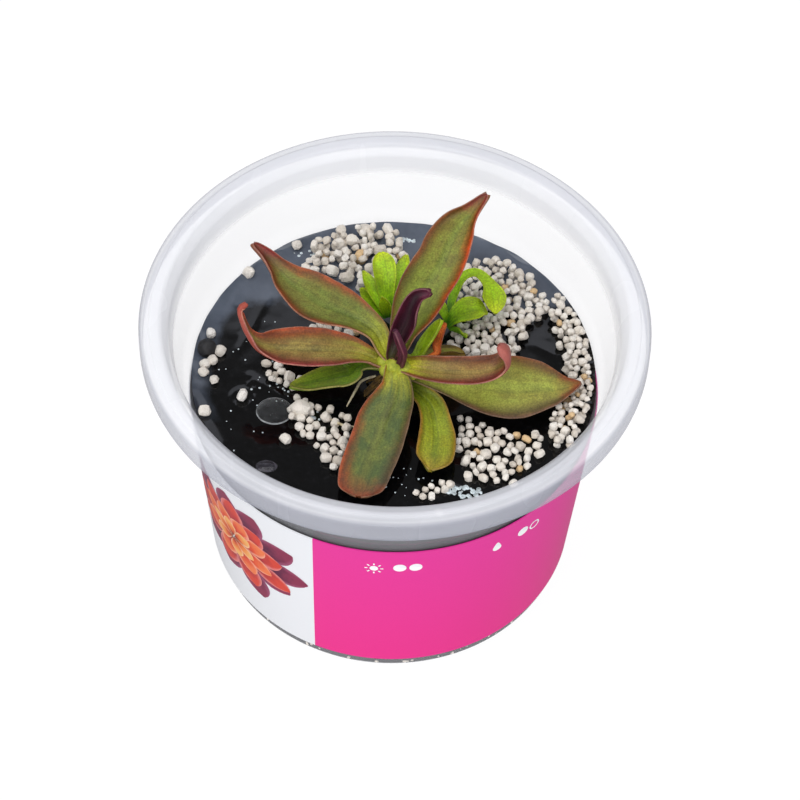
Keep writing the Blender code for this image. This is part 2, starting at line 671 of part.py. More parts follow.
def make_plantlet(name, leaves):
    """Offset rosette: small blades joined round a core close over the gel."""
    mat = material(name, LIME, 0.4)
    foot_x, foot_y = leaves[0].stations[0][:2]
    foot_z = GEL_LEVEL + CLEARANCE + PLANTLET_CORE_RADIUS
    core = ball(name, (foot_x, foot_y, foot_z + 0.8), PLANTLET_CORE_RADIUS * 1.3, mat, 8, 6)
    return fuse(core, [make_blade(leaf, mat) for leaf in leaves])


def inside(point, outline):
    """Tell whether a point in plan lies inside a closed outline."""
    x, y = point
    hit = False
    for (x1, y1), (x2, y2) in zip(outline, outline[1:] + outline[:1]):
        if (y1 > y) != (y2 > y) and x < x1 + (y - y1) * (x2 - x1) / (y2 - y1):
            hit = not hit
    return hit


def shrunk(outline, inset):
    """Move each corner of an outline towards its middle by about the inset."""
    middle = sum((Vector(corner) for corner in outline), Vector((0.0, 0.0))) / len(outline)
    moved = []
    for corner in outline:
        arm = Vector(corner) - middle
        moved.append(tuple(middle + arm * max(0.2, 1.0 - inset / arm.length)))
    return tuple(moved)


def grain(name, place, radius, rng, mat):
    """One rough grain of pumice."""
    bm = bmesh.new()
    bmesh.ops.create_icosphere(bm, subdivisions=1, radius=radius)
    spin = Matrix.Rotation(rng.uniform(0.0, math.tau), 3, Vector((rng.uniform(-1, 1), 1.0, 0.4)))
    bmesh.ops.rotate(bm, verts=bm.verts, cent=(0, 0, 0), matrix=spin)
    bmesh.ops.translate(bm, vec=place, verts=bm.verts)
    return add_object(name, mesh_from(bm, name), mat, 10.0)


def patch_places(patch, rng):
    """Places and radii of a patch's grains: a jittered triangular net, with a heap at its wall."""
    xs = [corner[0] for corner in patch.outline]
    ys = [corner[1] for corner in patch.outline]
    row_height = GRAIN_SPACING * math.sqrt(3.0) / 2.0
    floor = GEL_LEVEL + CLEARANCE
    places = []
    for row in range(int((max(ys) - min(ys)) / row_height) + 2):
        for column in range(int((max(xs) - min(xs)) / GRAIN_SPACING) + 2):
            shift_x = rng.uniform(-GRAIN_JITTER, GRAIN_JITTER)
            shift_y = rng.uniform(-GRAIN_JITTER, GRAIN_JITTER)
            x = min(xs) + (column + 0.5 * (row % 2)) * GRAIN_SPACING + shift_x
            y = min(ys) + row * row_height + shift_y
            radius = rng.uniform(*GRAIN_RADIUS)
            if not inside((x, y), patch.outline):
                continue
            places.append((x, y, floor + radius, radius))
            if math.hypot(x, y) > patch.pile_radius and rng.random() < PILE_CHANCE:
                heap = (x + PILE_SHIFT[0], y + PILE_SHIFT[1], floor + radius * PILE_RISE, radius)
                places.append(heap)
    return places


def make_patch(patch):
    """Pumice drift: grains that stand out of a thin bed just over the gel."""
    mat = material(patch.name, PUMICE, 0.85)
    rng = random.Random(SEED + len(patch.name) + len(patch.outline))
    bm = bmesh.new()
    bottom = GEL_LEVEL + CLEARANCE
    corners = [bm.verts.new((*corner, bottom)) for corner in shrunk(patch.outline, BED_INSET)]
    face = bm.faces.new(corners)
    raised = bmesh.ops.extrude_face_region(bm, geom=[face])
    tops = [item for item in raised["geom"] if isinstance(item, bmesh.types.BMVert)]
    bmesh.ops.translate(bm, vec=(0, 0, BED_THICKNESS), verts=tops)
    bmesh.ops.recalc_face_normals(bm, faces=bm.faces)
    bed = add_object(patch.name, mesh_from(bm, patch.name), mat)
    grains = [grain("grain", (x, y, z), radius, rng, mat)
              for x, y, z, radius in patch_places(patch, rng)]
    return fuse(bed, grains, smooth_angle=10.0)


def clear_scene():
    """Remove every object of the scene."""
    for obj in list(bpy.data.objects):
        bpy.data.objects.remove(obj, do_unlink=True)


def main():
    """Build the whole object."""
    clear_scene()
    make_cup()
    make_label()
    make_gel()
    make_crown()
    make_leaves()
    make_plantlet("plantlet_rear_left", PLANTLET_REAR_LEFT)
    make_plantlet("plantlet_rear_right", PLANTLET_REAR_RIGHT)
    for patch in PATCHES:
        make_patch(patch)


main()
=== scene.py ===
"""Looks of the potted butterwort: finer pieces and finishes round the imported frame.

Sizes in the tables are millimetres. Heights in them are over a level DATUM above the foot, and
`at` turns such a place into metres over the foot.
"""
import logging
import math
import random
from collections.abc import Callable, Sequence
from dataclasses import dataclass, field
from enum import Enum

import bpy
from mathutils import Matrix, Vector, noise


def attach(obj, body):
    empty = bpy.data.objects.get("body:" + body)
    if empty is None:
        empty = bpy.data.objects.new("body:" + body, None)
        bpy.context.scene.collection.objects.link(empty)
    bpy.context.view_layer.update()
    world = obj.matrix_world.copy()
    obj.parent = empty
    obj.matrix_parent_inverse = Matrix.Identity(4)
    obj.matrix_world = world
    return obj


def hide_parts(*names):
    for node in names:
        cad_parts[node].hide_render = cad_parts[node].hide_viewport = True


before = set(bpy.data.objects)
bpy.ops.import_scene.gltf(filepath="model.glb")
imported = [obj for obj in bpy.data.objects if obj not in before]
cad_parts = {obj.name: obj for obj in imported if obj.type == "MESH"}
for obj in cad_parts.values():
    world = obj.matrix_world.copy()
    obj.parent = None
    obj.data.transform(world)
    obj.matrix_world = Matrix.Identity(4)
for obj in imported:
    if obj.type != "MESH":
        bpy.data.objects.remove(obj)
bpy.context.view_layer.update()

LOG = logging.getLogger("butterwort")
MM = 0.001
DATUM = 1.6
BODY = "root"

RIM_TOP = 66.5
RIM_RADIUS = 50.5
WALL = 0.75
BODY_FOOT_RADIUS = 37.3
BODY_TOP_RADIUS = 41.2
BODY_FOOT_HEIGHT = -1.2
SHOULDER_HEIGHT = 48.8
GAP = 0.3
GEL_LEVEL = 48.2
STEM_PLACE = (0.0, -4.8)
SMOOTH_ANGLE = math.radians(60.0)
MIX_PORTS, MIX_OUT = (0, 6, 7), 2
OPTIONS = {"Math": "operation", "VectorMath": "operation", "Mix": "blend_type",
           "MapRange": "interpolation_type"}


def at(x: float, y: float, z: float) -> Vector:
    """Place in metres over the foot, from millimetres over the tables' level."""
    return Vector((x, y, z + DATUM)) * MM


def turned(turn: float, out: float, aside: float) -> Vector:
    """Step in plan: out along a direction in radians, and aside to its left."""
    way = Vector((math.cos(turn), math.sin(turn)))
    return way * out + Vector((-way.y, way.x)) * aside


def wall_radius(height: float) -> float:
    """Outer radius of the cup's tapered body at a height, in millimetres."""
    share = (height - BODY_FOOT_HEIGHT) / (SHOULDER_HEIGHT - BODY_FOOT_HEIGHT)
    return BODY_FOOT_RADIUS + share * (BODY_TOP_RADIUS - BODY_FOOT_RADIUS)


def ease(value: float, low: float, high: float) -> float:
    """Smooth step from 0 at low to 1 at high, which may lie below low."""
    share = min(1.0, max(0.0, (value - low) / (high - low)))
    return share * share * (3.0 - 2.0 * share)


def linear(code: str) -> tuple[float, float, float, float]:
    """Linear colour, with an alpha of 1, of an sRGB hex code."""
    parts = [int(code[index:index + 2], 16) / 255.0 for index in (1, 3, 5)]
    return (*(p / 12.92 if p <= 0.04045 else ((p + 0.055) / 1.055) ** 2.4 for p in parts), 1.0)


class Recipe:
    """Node graph of one finish: a Principled shader and what feeds it."""

    def __init__(self, name: str, sockets: dict) -> None:
        """Start a material.

        Args:
            name: Name of the material.
            sockets: Constant values for the shader's own sockets by name.
        """
        self.material = bpy.data.materials.new(name)
        self.material.use_nodes = True
        self.tree = self.material.node_tree
        self.feed(sockets)

    def feed(self, sockets: dict) -> bpy.types.Material:
        """Set or link sockets of the shader by name and return the material."""
        self.join(self.tree.nodes["Principled BSDF"], sockets)
        return self.material

    def join(self, node: bpy.types.Node, wires: dict) -> None:
        """Link or set a node's inputs.

        Args:
            node: The node.
            wires: Outputs, constants or hex colours by the input's name or number.
        """
        for key, value in wires.items():
            if isinstance(value, bpy.types.NodeSocket):
                self.tree.links.new(value, node.inputs[key])
            else:
                node.inputs[key].default_value = linear(value) if isinstance(value, str) else value

    def add(self, kind: str, *wires: object, out: int | str = 0,
            stops: Sequence[tuple[float, str]] = (), **settings: object) -> bpy.types.NodeSocket:
        """Add a node with its settings and links.

        Args:
            kind: Type of the node without the leading ShaderNode, and after a colon its option.
            *wires: What goes to its first inputs, as in join.
            out: Output that is returned.
            stops: Places and hex colours of a colour ramp.
            **settings: Its properties, and with a capital letter its inputs by name.

        Returns:
            The chosen output socket.
        """
        kind, _, option = kind.partition(":")
        node = self.tree.nodes.new("ShaderNode" + kind)
        ports = range(len(wires))
        if kind == "Mix":
            node.data_type, ports, out = "RGBA", MIX_PORTS, MIX_OUT
        if option:
            settings[OPTIONS[kind]] = option
        elements = node.color_ramp.elements if stops else ()
        while len(elements) < len(stops):
            elements.new(1.0)
        for element, (place, code) in zip(elements, stops):
            element.position, element.color = place, linear(code)
        inputs = {key: value for key, value in settings.items() if key[0].isupper()}
        for key in settings.keys() - inputs.keys():
            setattr(node, key, settings[key])
        self.join(node, {**dict(zip(ports, wires)), **inputs})
        return node.outputs[out]


def deselect() -> None:
    """Leave edit mode and select nothing."""
    if bpy.context.object and bpy.context.object.mode != "OBJECT":
        bpy.ops.object.mode_set(mode="OBJECT")
    bpy.ops.object.select_all(action="DESELECT")


def pick(*objects: bpy.types.Object) -> None:
    """Select these objects only, the first one active."""
    deselect()
    for obj in objects:
        obj.select_set(True)
    bpy.context.view_layer.objects.active = objects[0]


def named(name: str) -> bpy.types.Object:
    """Name the active object and its mesh.

    Args:
        name: The name.

    Returns:
        The object.
    """
    obj = bpy.context.object
    obj.name = obj.data.name = name
    return obj


def placed(name: str, data: bpy.types.ID) -> bpy.types.Object:
    """Put new data into the scene as an object.

    Args:
        name: Name of the object.
        data: Its curve, mesh, light or camera.

    Returns:
        The object.
    """
    obj = bpy.data.objects.new(name, data)
    bpy.context.collection.objects.link(obj)
    return obj


def lathe(name: str, profile: Sequence[tuple[float, float]], steps: int) -> bpy.types.Object:
    """Turn a profile that starts and ends on the Z axis into a closed piece.

    Args:
        name: Name of the piece.
        profile: Radius and height of each point in millimetres.
        steps: Steps of the turn.

    Returns:
        The finished object.
    """
    deselect()
    points = [at(radius, 0.0, height) for radius, height in profile]
    bpy.ops.mesh.primitive_plane_add(size=MM)
    obj = named(name)
    bpy.ops.object.mode_set(mode="EDIT")
    bpy.ops.mesh.select_all(action="SELECT")
    bpy.ops.mesh.merge(type="CENTER")
    bpy.ops.transform.translate(value=points[0])
    for before, after in zip(points, points[1:]):
        bpy.ops.mesh.extrude_vertices_move(TRANSFORM_OT_translate={"value": after - before})
    bpy.ops.mesh.select_all(action="SELECT")
    bpy.ops.mesh.spin(steps=steps, angle=math.tau, center=(0, 0, 0), axis=(0, 0, 1))
    bpy.ops.mesh.select_all(action="SELECT")
    bpy.ops.mesh.remove_doubles(threshold=1e-6)
    bpy.ops.mesh.normals_make_consistent(inside=False)
    bpy.ops.object.mode_set(mode="OBJECT")
    bpy.ops.object.shade_smooth_by_angle(angle=SMOOTH_ANGLE)
    return obj


def shaped_grid(name: str, columns: int, rows: int,
                place: Callable[[float, float], Vector]) -> bpy.types.Object:
    """Grid whose points are set one by one, for a surface that no operator bends.

    Args:
        name: Name of the piece.
        columns: Faces across.
        rows: Faces along.
        place: Gives a point in metres for u across and v along, each from 0 to 1.

    Returns:
        The open sheet with the grid's own UV map.
    """
    deselect()
    bpy.ops.mesh.primitive_grid_add(x_subdivisions=columns, y_subdivisions=rows, size=2)
    obj = named(name)
    for index, vertex in enumerate(obj.data.vertices):
        vertex.co = place(index % (columns + 1) / columns, index // (columns + 1) / rows)
    return obj


def thicken(obj: bpy.types.Object, thickness: float, offset: float = 1.0, group: str = "",
            under: int = 0) -> bpy.types.Object:
    """Give a sheet its thickness.

    Args:
        obj: The sheet.
        thickness: Thickness in millimetres.
        offset: -1 keeps the upper face in place, 1 the lower one.
        group: Vertex group that scales the thickness.
        under: Step to the material slot of the lower face.

    Returns:
        The same object.
    """
    wall = obj.modifiers.new("wall", "SOLIDIFY")
    wall.thickness = thickness * MM
    wall.offset = offset
    wall.vertex_group = group
    wall.thickness_vertex_group = 0.0
    wall.material_offset = under
    pick(obj)
    bpy.ops.object.modifier_apply(modifier=wall.name)
    bpy.ops.object.shade_smooth_by_angle(angle=SMOOTH_ANGLE)
    return obj


def joined(name: str, pieces: Sequence[bpy.types.Object]) -> bpy.types.Object:
    """Join pieces into one object.

    Args:
        name: Name of the object.
        pieces: The pieces.

    Returns:
        The object.
    """
    pick(*pieces)
    bpy.ops.object.join()
    return named(name)


def tube(name: str, points: Sequence[Vector], radii: Sequence[float],
         sides: int = 2) -> bpy.types.Object:
    """Round strand along a smooth path.

    Args:
        name: Name of the piece.
        points: Points of the path in metres.
        radii: Radius at each point in millimetres.
        sides: Bevel resolution of the strand.

    Returns:
        The strand as a mesh with closed ends.
    """
    curve = bpy.data.curves.new(name, "CURVE")
    curve.dimensions = "3D"
    curve.bevel_depth = MM
    curve.bevel_resolution = sides - 1
    curve.resolution_u = 4
    curve.use_fill_caps = True
    spline = curve.splines.new("NURBS")
    spline.points.add(len(points) - 1)
    spline.use_endpoint_u = True
    spline.order_u = 3
    for knot, point, radius in zip(spline.points, points, radii):
        knot.co = (*point, 1.0)
        knot.radius = radius
    pick(placed(name, curve))
    bpy.ops.object.convert(target="MESH")
    bpy.ops.object.shade_smooth_by_angle(angle=SMOOTH_ANGLE)
    return named(name)


def orb(name: str, middle: Sequence[float], size: Sequence[float], detail: tuple[int, int],
        rough: float, grain: float, start: float = 1000.0) -> bpy.types.Object:
    """Rounded lump with an uneven skin.

    Args:
        name: Name of the piece.
        middle: Its middle in millimetres.
        size: Its half sizes in millimetres.
        detail: Segments round its axis and rings along it.
        rough: Depth of its unevenness in millimetres.
        grain: Fineness of its unevenness per metre.
        start: Radius in millimetres of the sphere that is stretched to its size.

    Returns:
        The lump.
    """
    deselect()
    bpy.ops.mesh.primitive_uv_sphere_add(segments=detail[0], ring_count=detail[1],
                                         location=at(*middle), radius=start * MM)
    obj = named(name)
    obj.scale = Vector(size) * (1.0 / start)
    bpy.ops.object.transform_apply(location=True, rotation=True, scale=True)
    for vertex in obj.data.vertices:
        vertex.co += vertex.normal * rough * MM * noise.noise(vertex.co * grain)
    bpy.ops.object.shade_smooth()
    return obj


def deliver(obj: bpy.types.Object, slot: str, *nodes: str) -> bpy.types.Object:
    """Set a finished piece in the frame and report it.

    Args:
        obj: The piece.
        slot: Material slot of the record; not used.
        *nodes: CAD nodes that it stands for.

    Returns:
        The same piece.
    """
    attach(obj, BODY)
    if nodes:
        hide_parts(*nodes)
    LOG.info("%s: %d faces", obj.name, len(obj.data.polygons))
    return obj


def dress(obj: bpy.types.Object, *materials: bpy.types.Material) -> bpy.types.Object:
    """Give an object materials in place of its own.

    Args:
        obj: The object.
        *materials: The materials in the order of its slots.

    Returns:
        The same object.
    """
    obj.data.materials.clear()
    for material in materials:
        obj.data.materials.append(material)
    return obj


@dataclass(frozen=True)
class MilkyPolypropylene:
    """Thin-wall injection-moulded polypropylene: clear with a milky haze and a soft gloss."""
    tint: tuple[str, str, str] = ("#eceef5", "#f0f1f8", "#d4d6e0")
    skirt_shade_tint: str = "#b0b3c0"
    roughness: float = 0.24
    body_haze: float = 0.1
    rim_haze: float = 0.44
    edge_haze: float = 0.14

    def make(self) -> bpy.types.Material:
        """Mix the material: milkier in the thicker rim and where the wall is seen edge on.

        Returns:
            The material.
        """
        graph = Recipe("milky_polypropylene", {"IOR": 1.4})
        add = graph.add
        place = add("TexCoord", out="Object")
        # Flow marks from the gate lie about 9 mm apart and run down the wall
        flow = add("TexNoise", add("Mapping", place, Scale=(1.0, 1.0, 0.2)), Scale=110.0, Detail=0.0)
        x, y, z = add("SeparateXYZ", place).node.outputs
        rim = add("MapRange:SMOOTHSTEP", z, 0.061, 0.0628, self.body_haze, self.rim_haze)
        # Painted shade: the skirt hangs on edge under the flange, so its colour is set greyer than the
        # flange's
        skirt = add("VectorMath:LENGTH", add("CombineXYZ", x, y), out="Value")
        skirt = add("MapRange", skirt, 0.0496, 0.0503)
        edge = add("Math:POWER", add("LayerWeight", 0.5, out="Facing"), 4.0)
        haze = add("Math:MULTIPLY_ADD", edge, self.edge_haze, rim)
        body = add("ValToRGB", flow, stops=((0.1, self.tint[0]), (0.9, self.tint[1])))
        body = add("Mix", edge, body, self.tint[2])
        return graph.feed({
            "Base Color": add("Mix", skirt, body, self.skirt_shade_tint),
            "Alpha": add("Math:MULTIPLY", haze, add("MapRange", flow, 0.1, 0.9, 0.94, 1.06)),
            "Roughness": add("MapRange", flow, 0.0, 1.0, self.roughness - 0.05,
                             self.roughness + 0.08)})


@dataclass(frozen=True)
class PrintedFilm:
    """Gloss-laminated film label: flat ink under a clear film, so an even soft shine.

    The panel runs between two angles from -Y, and its right side leans by so many degrees for
    each metre of height.
    """
    panel: tuple[float, float] = (-100.0, -22.9)
    lean: float = 37.0
    ink: tuple[str, str] = ("#f02c90", "#e8349c")
    paper: str = "#eceef4"

    def make(self) -> bpy.types.Material:
        """Mix the material: a white panel left of the middle, magenta ink elsewhere.

        Returns:
            The material.
        """
        graph = Recipe("printed_film", {"Roughness": 0.38, "IOR": 1.3})
        add = graph.add
        place = add("TexCoord", out="Object")
        x, y, z = add("SeparateXYZ", place).node.outputs
        turn = add("Math:ARCTAN2", x, add("Math:MULTIPLY", y, -1.0))
        after = add("Math:GREATER_THAN", turn, math.radians(self.panel[0]))
        side = add("Math:MULTIPLY_ADD", z, math.radians(self.lean), math.radians(self.panel[1]))
        panel = add("Math:MULTIPLY", after, add("Math:LESS_THAN", turn, side))
        ink = add("ValToRGB", add("MapRange", z, 0.003, 0.046), stops=(
            (0.0, self.ink[0]), (1.0, self.ink[1])))
        # Offset dots of the print are about 0.15 mm, drawn twice as coarse so that they show
        grain = add("TexNoise", place, Scale=3300.0, Detail=1.0)
        dotted = add("Mix:MULTIPLY", 1.0, ink, add("MapRange", grain, 0.0, 1.0, 0.96, 1.04))
        return graph.feed({"Base Color": add("Mix", panel, dotted, self.paper)})


@dataclass(frozen=True)
class InkSpot:
    """Screen-printed ink on the film: an opaque spot colour with a hairline of gloss."""
    name: str
    colours: tuple[str, ...]
    edge: str = ""

    def make(self) -> bpy.types.Material:
        """Mix the material: the colour runs along V, streaky, with a paler edge.

        Returns:
            The material.
        """
        graph = Recipe(self.name, {"Roughness": 0.38, "IOR": 1.3})
        add = graph.add
        across, along, _ = add("SeparateXYZ", add("UVMap", uv_map="UVMap")).node.outputs
        streak = add("TexNoise", add("TexCoord", out="Object"), Scale=700.0, Detail=2.0)
        last = max(1, len(self.colours) - 1)
        ink = add("ValToRGB", add("Math:MULTIPLY_ADD", streak, 0.35, along), stops=tuple(
            (0.17 + 0.8 * index / last, code) for index, code in enumerate(self.colours)))
        if self.edge:
            away = add("Math:ABSOLUTE", add("Math:SUBTRACT", across, 0.5))
            away = add("Math:MULTIPLY_ADD", streak, 0.12, away)
            ink = add("Mix", add("MapRange", away, 0.38, 0.56, 0.0, 0.8), ink, self.edge)
        return graph.feed({"Base Color": ink})


@dataclass(frozen=True)
class WetGel:
    """Set black agar gel: a wet, nearly black body with a mirror-like skin."""

    def make(self) -> bpy.types.Material:
        """Mix the material: charcoal specks, an uneven shine and a painted slate reflection at the rear
        and along the left wall.

        Returns:
            The material.
        """
        graph = Recipe("wet_black_agar", {"IOR": 1.42})
        add = graph.add
        place = add("TexCoord", out="Object")
        black = add("ValToRGB", add("TexNoise", place, Scale=900.0, Detail=3.0), stops=(
            (0.35, "#050506"), (0.62, "#0a0a0c"), (0.78, "#1c1b1e")))
        # Painted reflection: at the rear and along the left wall the base colour turns slate grey, in
        # place of the soft boxes mirrored in the gel
        blot = add("TexNoise", place, Scale=110.0, Detail=4.0)
        x, y, z = add("SeparateXYZ", place).node.outputs
        rear = add("Math:MULTIPLY_ADD", blot, 0.016, y)
        rear = add("MapRange:SMOOTHSTEP", rear, 0.0235, 0.0275)
        wall = add("VectorMath:LENGTH", add("CombineXYZ", x, y), out="Value")
        wall = add("Math:MULTIPLY_ADD", blot, 0.006, wall)
        wall = add("MapRange:SMOOTHSTEP", wall, 0.0385, 0.0415)
        wall = add("Math:MULTIPLY", wall, add("MapRange", x, -0.016, -0.026))
        wall = add("Math:MULTIPLY", wall, add("MapRange", y, -0.014, -0.002))
        # film is the mask of the painted slate reflection
        film = add("Math:MAXIMUM", rear, wall)
        film = add("Math:MULTIPLY", film, add("MapRange", z, 0.0488, 0.0494))
        painted_reflection = add("ValToRGB", blot, stops=((0.3, "#444a56"), (0.7, "#626a78")))
        sheen = add("TexNoise", place, Scale=160.0, Detail=2.0)
        ripple = add("TexNoise", place, Scale=260.0, Detail=3.0)
        return graph.feed({
            "Base Color": add("Mix", film, black, painted_reflection),
            "Roughness": add("MapRange", sheen, 0.35, 0.75, 0.03, 0.12),
            "Normal": add("Bump", Height=ripple, Strength=0.3, Distance=0.012 * MM)})


@dataclass(frozen=True)
class CharcoalBead:
    """Fired clay bead: a matt charcoal skin without shine."""

    def make(self) -> bpy.types.Material:
        """Mix the material: charcoal with paler dusty specks.

        Returns:
            The material.
        """
        graph = Recipe("matt_charcoal_bead", {"Roughness": 0.6, "IOR": 1.5})
        speck = graph.add("TexNoise", graph.add("TexCoord", out="Object"), Scale=1200.0)
        return graph.feed({"Base Color": graph.add("ValToRGB", speck, stops=(
            (0.3, "#161618"), (0.8, "#2c2c30")))})


@dataclass(frozen=True)
class ClearBlister:
    """Trapped air under a skin of gel: clear in the middle, grey where it is seen edge on."""
    name: str
    colour: str
    body: float
    edge: float

    def make(self) -> bpy.types.Material:
        """Mix the material: glossy, with its outline denser than its middle.

        Returns:
            The material.
        """
        graph = Recipe(self.name, {"Roughness": 0.06, "IOR": 1.4})
        add = graph.add
        place = add("TexCoord", out="Object")
        rim = add("Math:POWER", add("LayerWeight", 0.5, out="Facing"), 2.5)
        haze = add("MapRange", rim, 0.0, 1.0, self.body, self.edge)
        # A ring of gel clings to the foot of the bubble, up to 0.4 mm over the surface
        foot = add("MapRange", add("SeparateXYZ", place, out=2), 0.05, 0.0502, self.edge, 0.0)
        tone = add("TexNoise", place, Scale=900.0, Detail=2.0)
        tone = add("MapRange", tone, 0.3, 0.7, 0.8, 1.2)
        return graph.feed({
            "Base Color": add("Mix:MULTIPLY", 1.0, self.colour, tone),
            "Alpha": add("Math:MULTIPLY", add("Math:MAXIMUM", haze, foot), tone)})


@dataclass(frozen=True)
class PumiceStone:
    """Screened horticultural pumice: a dry porous stone, pale and a little warm."""

    def make(self) -> bpy.types.Material:
        """Mix the material: a tone for each grain, dusty spots and open pores.

        Returns:
            The material.
        """
        graph = Recipe("screened_pumice", {"Roughness": 0.92, "IOR": 1.5})
        add = graph.add
        place = add("TexCoord", out="Object")
        tone = add("Attribute", out="Fac", attribute_name="tone")
        shade = add("TexNoise", place, Scale=1400.0, Detail=3.0)
        shade = add("Math:MULTIPLY_ADD", shade, 0.3, tone)
        stone = add("ValToRGB", shade, stops=(
            (0.2, "#d0c6ba"), (0.45, "#e8e0d6"), (0.7, "#f2ece4"), (0.88, "#faf7f3"),
            (0.97, "#e0c094")))
        # Pores are 0.1 mm and finer, drawn at 0.25 mm so that they show, with the colour darkened in
        # each as painted shade
        pore = add("TexVoronoi", place, out="Distance", Scale=3600.0)
        return graph.feed({
            "Base Color": add("Mix:MULTIPLY", 1.0, stone, add("MapRange", pore, 0.08, 0.4, 0.8)),
            "Normal": add("Bump", Height=pore, Strength=0.8, Distance=0.15 * MM)})


@dataclass(frozen=True)
class RootBark:
    """Fibrous plant tissue of crown and roots: dry, matt, with long streaks."""
    name: str
    colours: tuple[str, str, str]

    def make(self) -> bpy.types.Material:
        """Mix the material: streaks 0.6 mm wide that run down the strand.

        Returns:
            The material.
        """
        graph = Recipe(self.name, {"Roughness": 0.62, "IOR": 1.42})
        streak = graph.add("Mapping", graph.add("TexCoord", out="Object"), Scale=(1.0, 1.0, 0.25))
        streak = graph.add("TexNoise", streak, Scale=1600.0, Detail=3.0)
        return graph.feed({
            "Base Color": graph.add("ValToRGB", streak, stops=tuple(zip((0.3, 0.5, 0.7), self.colours))),
            "Normal": graph.add("Bump", Height=streak, Strength=0.6, Distance=0.1 * MM)})


@dataclass(frozen=True)
class LeafSkin:
    """Living butterwort leaf: fleshy, finely glandular, a soft wet shine, red at the margins.

    Left and right are as seen on the way from base to tip with the upper face up.
    """
    name: str
    base: str
    body: str
    upper: str
    centre: str
    left: str
    right: str
    tip: str
    under: str
    margin: float = 0.3
    fringe: float = 0.35
    roughness: float = 0.42
    tip_from: float = 0.92

    def make(self) -> tuple[bpy.types.Material, bpy.types.Material]:
        """Return the materials of the upper and the lower face."""
        return self.face(self.name, ""), self.face(self.name + "_under", self.under)

    def face(self, name: str, wash: str) -> bpy.types.Material:
        """Paint one face.

        Args:
            name: Name of the material.
            wash: Colour laid over the whole of a lower face, or nothing.

        Returns:
            The material.
        """
        graph = Recipe(name, {
            "IOR": 1.36, "Subsurface Weight": 0.05,
            "Subsurface Radius": (0.9, 0.6, 0.25), "Subsurface Scale": 0.5 * MM})
        add = graph.add
        chart = add("UVMap", uv_map="UVMap")
        across, along, _ = add("SeparateXYZ", chart).node.outputs
        place = add("TexCoord", out="Object")
        # Cell patches are about 2.5 mm, and glands 0.1 mm apart are drawn at 0.35 mm to show
        patch = add("TexNoise", place, Scale=380.0, Detail=5.0)
        velvet = add("TexNoise", place, Scale=2800.0, Detail=2.0, Roughness=0.7)
        streak = add("Mapping", chart, Scale=(13.0, 1.4, 1.0))
        streak = add("TexNoise", streak, Scale=1.0, Detail=4.0)
        side = add("Math:MULTIPLY_ADD", across, 2.0, -1.0)
        edge = add("Math:ABSOLUTE", side)
        flesh = add("ValToRGB", add("Math:MULTIPLY_ADD", streak, 0.5, along), stops=(
            (0.32, self.base), (0.52, self.body), (0.95, self.upper)))
        rib = add("MapRange:SMOOTHSTEP", edge, 0.0, 0.4, 0.7, 0.0)
        centre = add("Math:MAXIMUM", rib, add("MapRange", patch, 0.4, 0.62, 0.0, 0.6))
        centre = add("Math:MULTIPLY", centre, add("MapRange", along, 0.08, 0.3))
        flesh = add("Mix", centre, flesh, self.centre)
        rim = add("Mix", add("MapRange", side, -0.3, 0.3), self.left, self.right)
        bronze = add("Mix:MULTIPLY", 1.0, rim, "#c8c0b8")
        ragged = add("Math:MULTIPLY_ADD", patch, 0.5, edge)
        ragged = add("Math:MULTIPLY_ADD", streak, 0.3, ragged)
        wide = add("MapRange", along, 0.15, 1.0, 1.34 - self.margin, 1.1 - 1.5 * self.margin)
        full = add("Math:ADD", wide, 0.5)
        flush = add("MapRange:SMOOTHSTEP", ragged, wide, full, 0.0, 0.85)
        skin = add("Mix", flush, flesh, bronze)
        hem = add("MapRange", add("Math:MULTIPLY_ADD", patch, 0.16, edge), 0.95, 1.05, 0.0, 0.9)
        hem = add("Math:MULTIPLY", hem, add("MapRange", along, 0.08, 0.4, 0.25, 1.0))
        skin = add("Mix", hem, skin, rim)
        end = add("Math:MULTIPLY_ADD", patch, 0.16, along)
        end = add("MapRange", end, self.tip_from, self.tip_from + 0.14, 0.0, 0.85)
        skin = add("Mix", end, skin, self.tip)
        hair = add("MapRange", edge, 0.975, 1.0, 0.0, self.fringe)
        skin = add("Mix", hair, skin, "#c8a890")
        tone = add("MapRange", patch, 0.3, 0.7, 0.62, 1.14)
        tone = add("Math:MULTIPLY", tone, add("MapRange", velvet, 0.28, 0.72, 0.6, 1.28))
        tone = add("Math:MULTIPLY", tone, add("MapRange", streak, 0.3, 0.7, 0.74, 1.16))
        skin = add("Mix:MULTIPLY", 1.0, skin, tone)
        if wash:
            skin = add("Mix", 0.75, skin, wash)
        height = add("Math:MULTIPLY_ADD", velvet, 0.6, streak)
        return graph.feed({
            "Base Color": skin,
            "Roughness": add("MapRange", patch, 0.0, 1.0, self.roughness - 0.08,
                             self.roughness + 0.1),
            "Normal": add("Bump", Height=height, Strength=0.6, Distance=0.14 * MM)})


